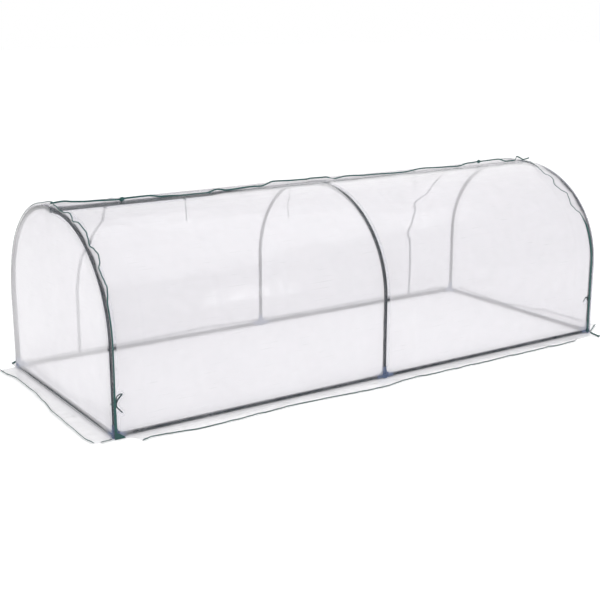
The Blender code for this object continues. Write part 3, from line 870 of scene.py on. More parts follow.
@dataclass(frozen=True)
class TubeFrame:
    """The steel tubes: rails, legs, ridge tubes and bent hoops."""

    sides: int = 28
    hub_clearance: float = 0.0108
    spigot_radius: float = 0.0069
    spigot_reach: float = 0.035
    swage: float = 0.0022
    crimp_reach: float = 0.004

    def tube(self, node: str, line: Sequence[Vector], across: Vector,
             radii: Sequence[float] | None = None) -> bpy.types.Object:
        """Make one tube in place of its node."""
        sizes = radii or [SIZES.pipe_radius] * len(line)
        frames = [ring_frame(place, along, across, radius, radius)
                  for place, along, radius in zip(line, tangents(line), sizes)]
        return install(node + "_tube", sweep(frames, self.sides), STEEL, stands_for=[node])

    def straight(self, node: str, start: Vector, end: Vector) -> None:
        """Make a straight tube with eased rims."""
        along = (end - start).normalized()
        across = Vector((0, 1, 0)) if abs(along.y) < 0.5 else Vector((1, 0, 0))
        ease_in = along * 0.0008
        radius = SIZES.pipe_radius
        rim = radius - 0.0008
        self.tube(node, [start, start + ease_in, end - ease_in, end], across,
                  [rim, radius, radius, rim])

    def hoop(self, node: str, x: float, side: Side) -> None:
        """Make half a hoop, from its ridge connector to the thin end inside the leg."""
        line = HoopLine(0.0)
        start = self.hub_clearance
        joint = line.length - SIZES.leg_joint
        radius = SIZES.pipe_radius
        stations = [(walk, radius) for walk in spread(start, joint - 0.006, 72)]
        stations += [(joint - 0.0045, radius), (joint - 0.0008, radius), (joint, radius - 0.0008),
                     (joint + 0.0003, self.spigot_radius),
                     (joint + self.spigot_reach, self.spigot_radius)]
        points = []
        for walk, _ in stations:
            place, _ = line.at(walk)
            points.append(Vector((x, side.value * place.x, place.y)))
        self.tube(node, points, Vector((1, 0, 0)), [size for _, size in stations])

    def build(self) -> None:
        """Make every tube of the frame."""
        near = self.hub_clearance
        far = SIZES.half_length - near
        lines = {"front_rail": (-SIZES.half_width, SIZES.rail_height),
                 "back_rail": (SIZES.half_width, SIZES.rail_height),
                 "ridge_tube": (0, SIZES.ridge_height)}
        for name, (y, z) in lines.items():
            self.straight(name + "_left", Vector((-far, y, z)), Vector((-near, y, z)))
            self.straight(name + "_right", Vector((near, y, z)), Vector((far, y, z)))
        hoops = {"left": -SIZES.half_length, "middle": 0.0, "right": SIZES.half_length}
        reach = SIZES.half_width - near
        for end in ("left", "right"):
            self.straight("end_rail_" + end, Vector((hoops[end], -reach, SIZES.rail_height)),
                          Vector((hoops[end], reach, SIZES.rail_height)))
        for end, x in hoops.items():
            for name, side in (("front", Side.LOW), ("back", Side.HIGH)):
                y = side.value * SIZES.half_width
                self.straight(f"leg_{end}_{name}", Vector((x, y, SIZES.rail_height + near)),
                              Vector((x, y, SIZES.leg_joint)))
                self.hoop(f"hoop_{end}_{name}", x, side)


@dataclass(frozen=True)
class Fitting:
    """A moulded connector: a hub with sockets for the tubes and webs between them."""

    sides: int = 28
    hub_half: float = 0.0105
    barrel: float = 0.0099
    lip: float = 0.0104
    lip_length: float = 0.004
    bore: float = 0.0083
    reach: float = 0.042
    mouth_depth: float = 0.006
    web: float = 0.004
    web_reach: float = 0.036
    web_steps: int = 8
    easing: float = 0.0009

    def socket(self, centre: Vector, way: Vector) -> bmesh.types.BMesh:
        """Make one socket: a barrel with a lip round its mouth and a real bore."""
        lip_start = self.reach - self.lip_length
        profile = [(0.0, self.barrel), (lip_start - 0.0006, self.barrel), (lip_start, self.lip),
                   (self.reach - self.easing / 2, self.lip), (self.reach, self.barrel),
                   (self.reach, self.bore + 0.0003), (self.reach - 0.0003, self.bore),
                   (self.reach - self.mouth_depth, self.bore)]
        across = Vector((0, 0, 1)) if abs(way.z) < 0.5 else Vector((1, 0, 0))
        frames = [ring_frame(centre + way * out, way, across, radius, radius)
                  for out, radius in profile]
        return sweep(frames, self.sides)

    def hub(self, centre: Vector) -> bmesh.types.BMesh:
        """Make the block that the sockets meet in, with well rounded edges."""
        shape = bmesh.new()
        bmesh.ops.create_cube(shape, size=2 * self.hub_half)
        bmesh.ops.bevel(shape, geom=shape.edges[:], offset=0.003, segments=4, profile=0.5,
                        affect="EDGES", material=-1)
        bmesh.ops.translate(shape, vec=centre, verts=shape.verts[:])
        return shape

    def gusset(self, centre: Vector, first: Vector, second: Vector) -> bmesh.types.BMesh:
        """Make a web between two sockets, with a hollow free edge."""
        shape = bmesh.new()
        outline = [centre]
        for turn in spread(0.0, math.pi / 2, self.web_steps):
            out = self.web_reach * (1 - 0.55 * min(math.sin(turn), math.cos(turn)))
            outline.append(centre + (first * math.cos(turn) + second * math.sin(turn)) * out)
        normal = first.cross(second).normalized()
        base = [shape.verts.new(point - normal * self.web / 2) for point in outline]
        face = shape.faces.new(base)
        made = bmesh.ops.extrude_face_region(shape, geom=[face])["geom"]
        top = [item for item in made if isinstance(item, bmesh.types.BMVert)]
        bmesh.ops.translate(shape, vec=normal * self.web, verts=top)
        bmesh.ops.recalc_face_normals(shape, faces=shape.faces[:])
        bmesh.ops.bevel(shape, geom=shape.edges[:], offset=self.easing, segments=2, profile=0.5,
                        affect="EDGES", material=-1, clamp_overlap=True)
        return shape

    def mould(self, node: str, centre: Vector, ways: Sequence[Vector],
              webs: Sequence[tuple[int, int]], finish: Finish = PLASTIC) -> None:
        """Make one connector in place of its node.

        Args:
            node: The frame's node.
            centre: The hub's centre.
            ways: The directions of the sockets.
            webs: Pairs of sockets, by number, that a web joins.
            finish: The plastic: slate blue at the base, dark along the ridge.
        """
        parts = [self.hub(centre)]
        parts += [self.socket(centre, way) for way in ways]
        parts += [self.gusset(centre, ways[near], ways[far]) for near, far in webs]
        install(node + "_moulding", merge(parts), finish, stands_for=[node])

    def build(self) -> None:
        """Make the nine connectors of the frame."""
        up = Vector((0, 0, 1))
        for side, y in (("front", -SIZES.half_width), ("back", SIZES.half_width)):
            inward = Vector((0, 1 if y < 0 else -1, 0))
            for end, x in (("left", -SIZES.half_length), ("right", SIZES.half_length)):
                along = Vector((1 if x < 0 else -1, 0, 0))
                centre = Vector((x, y, SIZES.rail_height))
                self.mould(f"corner_connector_{side}_{end}", centre, [along, inward, up],
                           [(0, 2), (1, 2)])
            along = Vector((1, 0, 0))
            self.mould("base_tee_" + side, Vector((0, y, SIZES.rail_height)),
                       [along, -along, up], [(0, 2), (1, 2)])
        across = Vector((0, 1, 0))
        for end, x in (("left", -SIZES.half_length), ("right", SIZES.half_length)):
            along = Vector((1 if x < 0 else -1, 0, 0))
            self.mould("ridge_tee_" + end, Vector((x, 0, SIZES.ridge_height)),
                       [along, across, -across], [(0, 1), (0, 2)], RIDGE_PLASTIC)
        along = Vector((1, 0, 0))
        self.mould("ridge_cross_middle", Vector((0, 0, SIZES.ridge_height)),
                   [along, across, -along, -across], [(0, 1), (1, 2), (2, 3), (3, 0)],
                   RIDGE_PLASTIC)


# Film cover

@dataclass(frozen=True)
class Slack:
    """How loosely the film hangs over the frame."""

    sag: float = 0.004
    billow: float = 0.0025
    drag: float = 0.0011
    crumple: float = 0.0009
    fold: float = 0.0007
    press: float = 0.0026
    press_reach: float = 0.016
    inset: float = 0.003
    # Cling below zero marks film lying on the ground, where the film's tint and haze colour are
    # lightened as painted light.
    lying: float = -0.75
    lifted: float = -0.5
    clear_of_sockets: float = 0.048
    bend: float = 0.005
    skirt_wave: float = 0.003

    def bay(self, x: float) -> float:
        """Return how free the film is along X: 0 on a hoop, 1 between two."""
        part = abs(x) % SIZES.half_length / SIZES.half_length
        return ease(0.0, 0.16, part) * ease(0.0, 0.16, 1 - part)

    def tight(self, walked: float, height: float) -> float:
        """Return how far a place on an end hoop is from its connectors: 0 at them, else 1."""
        start, full = self.clear_of_sockets, self.clear_of_sockets + 0.03
        return ease(start, full, walked) * ease(start, full, height)

    def pressed(self, x: float, walked: float, height: float) -> float:
        """Return how far the film is drawn in onto the tubes, from 0 to its whole press.

        Between the connectors it lies on the ridge tube, the hoops and the rails.
        """
        from_hoop = min(abs(x), abs(abs(x) - SIZES.half_length))
        beside = ease(self.clear_of_sockets, self.clear_of_sockets + 0.03, from_hoop)
        below = ease(self.clear_of_sockets, self.clear_of_sockets + 0.03, walked)
        above = ease(self.clear_of_sockets, self.clear_of_sockets + 0.03, height)
        hoop = math.exp(-(from_hoop / self.press_reach) ** 2) * below * above
        ridge = math.exp(-(walked / self.press_reach) ** 2) * beside
        rail = math.exp(-((height - SIZES.rail_height) / 0.012) ** 2) * beside
        return self.press * max(hoop, ridge, rail)

    def cling(self, x: float, walked: float, height: float) -> float:
        """Return how closely a long film clings to a tube, from 0 to 1."""
        from_hoop = min(abs(x), abs(abs(x) - SIZES.half_length))
        near_end = ease(0.6, 0.7, abs(x)) * (1 - ease(0.2, 0.4, walked))
        hoop = 1 - ease(0.011 + 0.018 * near_end, 0.019 + 0.018 * near_end, from_hoop)
        hoop *= 1 - 0.4 * (1 - ease(0.1, 0.2, walked)) * (1 - ease(0.2, 0.4, abs(x)))
        reach = 0.1 - 0.045 * ease(-0.7, -0.5, x)
        slack = 0.08 + 0.47 * ease(-0.5, -0.35, x) + 0.2 * ease(0.1, 0.4, x)
        ridge = (1 - ease(reach, reach + 0.02, walked)) * (1 - slack)
        rail = ease(0.003, 0.009, height) * (1 - ease(0.017, 0.024, height))
        rail *= 1 - 0.85 * ease(-1.17, -1.2, x)
        creases = max(ripple(x * 55, walked * 40, 47.0), 0.0) * ease(-0.7, -0.9, x)
        patchy = min(0.88 + 0.22 * ripple(x * 21, walked * 16, 31.0), 1.0) - 0.45 * creases
        cling = max(patchy * hoop, ridge, patchy * rail)
        return self.laid(cling, walked - FILM_LINE.length)

    def laid(self, cling: float, past: float) -> float:
        """Return a film's cling past the foot of its wall: below zero, it lies on the ground."""
        on_ground = ease(0.0, 0.02, past)
        return cling * (1 - on_ground) + self.lying * on_ground

    def wall(self, x: float, walked: float, height: float, seed: float) -> float:
        """Return how far the film stands out from its taut line on a long wall.

        Args:
            x: The place along the tunnel.
            walked: The walk from the ridge.
            height: The height above the ground.
            seed: A number that sets this sheet's pattern.

        Returns:
            The distance outwards. It is negative where the film sags in.
        """
        free = ease(0.02, 0.16, walked) * ease(0.02, 0.12, height)
        bay = self.bay(x)
        wide = self.billow * ripple(x * 1.7, walked * 2.2, seed)
        drawn = self.drag * ripple(x * 2.4 + walked, walked * 22, seed + 3)
        crisp = self.crumple * (0.5 - abs(ripple(x * 14, walked * 19, seed + 7))) * 2
        folds = self.fold * (math.exp(-((walked * 4.6 % 1 - 0.5) / 0.035) ** 2)
                             - math.exp(-((x * 3.1 % 1 - 0.5) / 0.02) ** 2))
        loose = free * (bay * (wide - self.sag) + (0.35 + 0.65 * bay) * (drawn + crisp) + folds)
        return loose - self.pressed(x, walked, height)

    def end(self, y: float, height: float, edge: float, seed: float) -> float:
        """Return how far an end's film stands out from its flat plane.

        Args:
            y: The place across the tunnel.
            height: The height above the ground.
            edge: The height of the hoop there.
            seed: A number that sets this sheet's pattern.
        """
        free = ease(0.0, 0.1, edge - height) * ease(0.01, 0.08, height)
        free *= ease(0.0, 0.08, SIZES.half_width - abs(y))
        wide = 0.006 * (ripple(y * 2.4, height * 2.6, seed) - 0.2)
        drawn = 0.0016 * ripple(y * 5 + height * 3, height * 7 - y * 4, seed + 3)
        return free * (wide + drawn)

    def turn(self, past: float) -> tuple[float, float]:
        """Return how a film turns from a wall onto the ground.

        Args:
            past: The walk past the foot of the wall, below zero on the wall.

        Returns:
            The distance out from the wall and the height above the ground.
        """
        if past > 12 * self.bend:
            return past, 0.0
        if past < -12 * self.bend:
            return 0.0, -past
        out = self.bend * math.log1p(math.exp(past / self.bend))
        return out, out - past

    def ground(self, along: float, past: float, seed: float) -> float:
        """Return the height of a skirt's waves above the ground."""
        lie = ease(0.0, 0.05, past)
        wave = ripple(along * 11, past * 9, seed) + 0.4 * ripple(along * 29, past * 20, seed + 1)
        return SIZES.film + self.skirt_wave * lie * max(wave + 0.35, 0.0)

    def place(self, x: float, past: float, side: Side, seed: float) -> Vector:
        """Return a place on a long wall, its roof or its ground skirt.

        Args:
            x: The place along the tunnel.
            past: The walk past the foot of the wall, below zero on the wall.
            side: The front or the back.
            seed: A number that sets this sheet's pattern.
        """
        walked = FILM_LINE.length + past
        if past > -0.06:
            out, height = self.turn(past)
            height += self.ground(x, past, seed + 11)
            out += SIZES.half_width + SIZES.film_level - self.pressed(x, 1.0, height)
        else:
            spot, normal = FILM_LINE.at(walked)
            out, height = spot + normal * self.wall(x, walked, spot.y, seed)
        drawn = self.inset * self.tight(walked, height) * ease(1.2, SIZES.cover_end, abs(x))
        return Vector((x - math.copysign(drawn, x), side.value * out, height))


SLACK = Slack()
HEM = Binding(0.0085, 0.002)
HEM_TILT = Vector((0, 0, 1.1))
HEM_LIFT = Vector((0, 0, 0.0028))
HEM_TIP = (1.7, 1.7, 1.3) + (1.0,) * 11


@dataclass(frozen=True)
class FrontCover:
    """The front film: standing ridge seam, roof, wall and ground skirt in one cut."""

    skirt_widths: tuple[tuple[float, float], ...] = (
        (-1.262, 0.003), (-1.225, 0.004), (-1.203, 0.018), (-1.187, 0.035), (-1.178, 0.074),
        (-1.162, 0.068), (-1.139, 0.061), (-1.109, 0.06), (-1.08, 0.063), (-1.05, 0.069),
        (-0.938, 0.082), (-0.766, 0.080), (-0.6, 0.07), (-0.477, 0.065),
        (-0.3, 0.078), (-0.09, 0.091), (0.072, 0.068), (0.25, 0.071), (0.394, 0.073),
        (0.65, 0.069), (0.921, 0.070), (1.068, 0.072), (1.12, 0.054), (1.191, 0.048),
        (1.262, 0.083))
    seam_heights: tuple[tuple[float, float], ...] = (
        (-1.262, 0.016), (-1.216, 0.0192), (-1.092, 0.0112), (-0.976, 0.0062),
        (-0.941, 0.0092), (-0.849, 0.0102), (-0.786, 0.0012), (-0.694, -0.003),
        (-0.586, -0.003), (-0.528, 0.0082), (-0.485, 0.0012), (-0.356, 0.0052),
        (-0.316, 0.0032), (-0.244, 0.0202), (-0.156, 0.0162), (0.026, 0.0132),
        (0.064, 0.0042), (0.147, 0.0112), (0.244, 0.0062), (0.466, 0.0022),
        (0.587, 0.0122), (0.711, 0.0072), (0.807, 0.0052), (0.884, 0.0162),
        (0.949, 0.0182), (1.083, 0.0212), (1.125, 0.0052), (1.184, 0.006), (1.206, 0.0225),
        (1.228, 0.003), (1.262, 0.0085))
    seam_width: float = 0.023
    seam_overhang: float = 0.024
    zip_tops: tuple[float, ...] = (-0.965, 0.95)
    hem_start: float = -1.18
    hem_end: float = 1.109
    strand_shift: tuple[float, float] = (-0.0065, 0.003)
    columns: int = 280
    rows: int = 150
    skirt_share: float = 0.17
    seam_share: float = 0.06
    end_slant: float = 0.31

    def seam_edge(self, x: float, share: float) -> Vector:
        """Return a point on the standing ridge seam, from its foot at 0 to its edge at 1."""
        lift = read_table(self.seam_heights, x) / self.seam_width
        lean = math.acos(min(max(lift * 0.92, -0.2), 0.97))
        lean = max(lean - 0.2, 0.0) * share ** 0.6
        top = SIZES.ridge_height + SIZES.film_level - SLACK.pressed(x, 0.0, 1.0)
        sway = 0.003 * share * ripple(x * 14, 0, 5.0)
        past = self.seam_overhang * share * ease(1.18, SIZES.cover_end, x)
        return Vector((x + past, -self.seam_width * share * math.sin(lean) + sway,
                       top + self.seam_width * share * max(math.cos(lean), 0.04)))

    @cached_property
    def strands(self) -> list[tuple[float, float]]:
        """Where the film clings to the leg ties' loose ends, in X and Z."""
        return [(place.x + self.strand_shift[0], place.z + self.strand_shift[1])
                for end in Side for place in TIES.loose_end(end)]

    def x_at(self, across: float) -> float:
        """Return a column's X: the columns stand closer together at the hoops."""
        turn = 2 * across - 1
        return (turn - 0.5 * math.sin(2 * math.pi * turn) / (2 * math.pi)) * SIZES.cover_end

    def drape(self, across: float, up: float) -> Spot:
        """Hang the film, from the skirt's hem at 0 to the seam's edge at 1."""
        x = self.x_at(across)
        if up > 1 - self.seam_share:
            share = (up - 1 + self.seam_share) / self.seam_share
            return Spot(self.seam_edge(x, share), Vector((x, self.seam_width * share)),
                        SLACK.lifted)
        if up < self.skirt_share:
            past = read_table(self.skirt_widths, x) * (1 - up / self.skirt_share)
        else:
            part = (up - self.skirt_share) / (1 - self.skirt_share - self.seam_share)
            past = -FILM_LINE.length * part
        place = SLACK.place(x, past, Side.LOW, 1.0)
        place.x -= self.end_slant * max(past, 0.0) * ease(1.19, SIZES.cover_end, x)
        cling = SLACK.cling(x, FILM_LINE.length + past, place.z)
        # Along the leg ties' loose ends the film clings: clear there, and its tint darkened as
        # painted shade, so the ties show darker through it.
        if 1.15 < abs(x) < 1.26 and 0.05 < place.z < 0.25:
            to_strand = min(math.hypot(place.x - along, place.z - height)
                            for along, height in self.strands)
            cling = max(cling, 1 - ease(0.005, 0.014, to_strand))
        return Spot(place, Vector((x, -FILM_LINE.length - past)), cling)

    def seam_tape_scale(self, x: float) -> float:
        """Return how wide the ridge seam's tape lies: folded broad over the zips' tops."""
        broad = sum(math.exp(-((x - place) / 0.009) ** 4) for place in self.zip_tops)
        narrow = 0.6 * math.exp(-((x - 0.06) / 0.014) ** 4)
        return (1.05 - 0.1 * ease(-0.5, 0.6, x)) * (1 - narrow) + 1.7 * broad

    def build(self) -> None:
        """Hang the film and sew the tapes on its long edges."""
        film = hang("front_film", [Cut(self.columns, self.rows, self.drape)],
                    ["front_panel", "front_skirt"])
        hem = [self.drape(share, 0.0).place + HEM_LIFT for share in spread(0, 1, 460)]
        hem = [place for place in hem if self.hem_start < place.x < self.hem_end]
        runs = [place.x - self.hem_start for place in hem]
        scales = [0.3 + 1.2 * ease(0.0, 0.008, run) - 0.5 * ease(0.012, 0.03, run)
                  for run in runs]
        end = [self.drape(1.0, self.skirt_share * up).place + HEM_LIFT
               for up in spread(0.0, 1.0, 14)]
        tilt = Vector((0, -1, 0)) + HEM_TILT
        tape = HEM.sew("front_hem_tape", [HEM.fold(hem, tilt, scales),
                                          HEM.fold(end, Vector((1, 0, 0.6)), HEM_TIP)],
                       ["skirt_binding_front"])
        crest = [self.drape(share, 1.0).place for share in spread(0, 1, 640)]
        seam = Binding(0.0064, 0.0022)
        edge = seam.sew("ridge_seam_tape",
                        [seam.fold(crest, UP, [self.seam_tape_scale(spot.x)
                                               for spot in crest])], ["ridge_seam_binding"])
        film.declare("stretched", ["ridge_tube_left", "hoop_middle_front", "front_rail_left"],
                     [tape, edge])


@dataclass(frozen=True)
class BackCover:
    """The back film: fixed strips and a ridge band, the door between the zips, and the zips."""

    zip_lines: dict[Side, tuple[tuple[float, float], ...]] = field(default_factory=lambda: {
        Side.LOW: ((0.05, -0.965), (0.2, -0.935), (0.367, -0.887), (0.433, -0.872),
                   (0.55, -0.9), (0.668, -0.941), (0.734, -0.951), (0.8, -0.96)),
        Side.HIGH: ((0.05, 0.96), (0.2, 0.975), (0.386, 1.014), (0.5, 1.011), (0.57, 0.951),
                    (0.628, 0.971), (0.686, 0.965), (0.745, 0.94), (0.8, 0.957),
                    (0.83, 0.96))})
    skirt_widths: tuple[tuple[float, float], ...] = (
        (-1.262, 0.05), (-1.234, 0.066), (-1.1, 0.055), (-0.96, 0.06), (-0.7, 0.058),
        (-0.5, 0.07), (-0.25, 0.085), (0.0, 0.062), (0.3, 0.056), (0.5, 0.066), (0.75, 0.07),
        (0.96, 0.06), (1.15, 0.064), (1.262, 0.05))
    door_gap: float = 0.0009
    door_cling: float = 0.5
    skirt_share: float = 0.16
    tape_width: float = 0.0075
    tape_thickness: float = 0.0011
    coil_radius: float = 0.0011
    coil_pitch: float = 0.0035

    @property
    def fold_walk(self) -> float:
        """The walk from the ridge to the line that the door lifts about."""
        return SIZES.fold_distance

    def zip_x(self, side: Side, walked: float) -> float:
        """Return where a zip's middle runs after a walk from the ridge."""
        return read_table(self.zip_lines[side], walked)

    def spot(self, x: float, past: float) -> Spot:
        """Return a spot of the back film."""
        place = SLACK.place(x, past, Side.HIGH, 31.0)
        cling = SLACK.cling(x, FILM_LINE.length + past, place.z)
        return Spot(place, Vector((-x, -FILM_LINE.length - past)), cling)

    def climb(self, x: float, up: float) -> float:
        """Return the walk past the foot at a share of the way from hem to fold."""
        if up < self.skirt_share:
            return read_table(self.skirt_widths, x) * (1 - up / self.skirt_share)
        part = (up - self.skirt_share) / (1 - self.skirt_share)
        return (self.fold_walk - FILM_LINE.length) * part

    def strip(self, side: Side) -> Drape:
        """Return the drape of the fixed film between a zip and an end."""
        def drape(across: float, up: float) -> Spot:
            far = side.value * SIZES.cover_end
            share = across if side is Side.LOW else 1 - across
            guess = side.value * SIZES.door_half
            past = self.climb(guess + (far - guess) * share, up)
            edge = self.zip_x(side, FILM_LINE.length + past)
            near = edge + side.value * self.door_gap
            return self.spot(near + (far - near) * share, past)
        return drape

    def band(self, across: float, up: float) -> Spot:
        """Hang the band between the ridge and the door's fold."""
        x = (1 - 2 * across) * SIZES.cover_end
        walked = (self.fold_walk - 0.0006) * (1 - up) + 0.001 * up
        return self.spot(x, walked - FILM_LINE.length)

    def door(self, across: float, up: float) -> Spot:
        """Hang the door between the two zips, from its hem to its fold."""
        past = self.climb((1 - 2 * across) * SIZES.door_half, up)
        walked = FILM_LINE.length + past
        low = self.zip_x(Side.LOW, walked) + self.door_gap
        high = self.zip_x(Side.HIGH, walked) - self.door_gap
        spot = self.spot(high + (low - high) * across, past)
        return Spot(spot.place, spot.cut, min(spot.cling, self.door_cling))

    def zip_run(self, side: Side, offset: float, lift: float) -> list[Vector]:
        """Return the line of a zip's part beside the zip's middle.

        Args:
            side: The left or the right zip.
            offset: The distance from the zip's middle along X.
            lift: The distance outside the film.
        """
        line = []
        for walked in spread(self.fold_walk + 0.002, FILM_LINE.length - 0.006, 260):
            spot, normal = FILM_LINE.at(walked)
            x = self.zip_x(side, walked) + offset
            out = SLACK.wall(x, walked, spot.y, 31.0) + lift
            line.append(Vector((x, spot.x + normal.x * out, spot.y + normal.y * out)))
        return line

    def build_zip(self, side: Side, end: str) -> list[bpy.types.Object]:
        """Sew one zip: two tapes, each with its half of the coil.

        Args:
            side: The left or the right zip.
            end: The word for it in the nodes' names.

        Returns:
            The two tapes, the fixed one first.
        """
        halves = []
        for part, inward, body in (("fixed", side.value, "root"),
                                   ("door", -side.value, "back_door")):
            offset = inward * (self.tape_width / 2 + 0.0004)
            lift = self.tape_thickness / 2 + SIZES.film / 2 + 0.0002
            line = self.zip_run(side, offset, lift)
            frames = [ring_frame(place, along, Vector((1, 0, 0)), self.tape_width / 2,
                                 self.tape_thickness / 2)
                      for place, along in zip(line, tangents(line))]
            coil_line = self.zip_run(side, inward * (self.coil_radius + 0.0003),
                                     lift + self.tape_thickness / 2 + 0.0004)
            coil = []
            for step, (place, along) in enumerate(zip(coil_line, tangents(coil_line))):
                swell = 1 + 0.22 * math.cos(math.pi * step)
                coil.append(ring_frame(place, along, Vector((1, 0, 0)), self.coil_radius * swell,
                                       self.coil_radius * 0.8))
            shape = merge([sweep(frames, 10, 0.8), sweep(coil, 8)])
            halves.append(install(f"zip_{end}_{part}_tape", shape, ZIP_TAPE, body,
                                  [f"zip_tape_{end}_{part}"]))
        return halves

    def build(self) -> None:
        """Hang the fixed film and the door, sew the zips and put on the sliders."""
        band = hang("ridge_band_film", [Cut(200, 8, self.band)], ["back_panel"])
        band.declare("stretched", ["ridge_tube_left", "ridge_tube_right"])
        door = hang("door_film", [Cut(220, 130, self.door)], ["back_door", "door_skirt"],
                    "back_door")
        tilt = Vector((0, 1, 0)) + HEM_TILT
        lifted = []
        for side, end in ((Side.LOW, "left"), (Side.HIGH, "right")):
            run = self.strip(side)
            strip = hang(f"back_strip_{end}", [Cut(44, 130, run)],
                         ["back_panel", f"back_skirt_{end}"])
            line = [run(share, 0.0).place + HEM_LIFT for share in spread(0, 1, 60)]
            tapes = [HEM.sew(f"back_hem_tape_{end}", [HEM.fold(line, tilt)]),
                     *self.build_zip(side, end)]
            lifted.append(tapes.pop())
            strip.declare("stretched", [f"hoop_{end}_back", f"back_rail_{end}"], tapes)
        hem = [self.door(share, 0.0).place + HEM_LIFT for share in spread(0, 1, 320)]
        lifted.append(HEM.sew("door_hem_tape", [HEM.fold(hem, tilt)], ["skirt_binding_door"],
                              "back_door"))
        door.declare("hung", ["back_rail_left", "back_rail_right"], lifted)
        for end in ("left", "right"):
            for node in ("zip_slider_", "zip_pull_"):
                self.plate(node + end)

    def plate(self, node: str) -> None:
        """Give a slider or a pull of the frame its metal and its softened edges."""
        piece = bpy.data.objects[node]
        for place in piece.material_slots:
            place.material = ZINC.material()
        weld = piece.modifiers.new("weld", "WELD")
        weld.merge_threshold = 0.00002
        ease_edges = piece.modifiers.new("ease", "BEVEL")
        ease_edges.width = 0.0003
        ease_edges.segments = 2
        ease_edges.limit_method = "ANGLE"
        ease_edges.angle_limit = SMOOTH_ANGLE


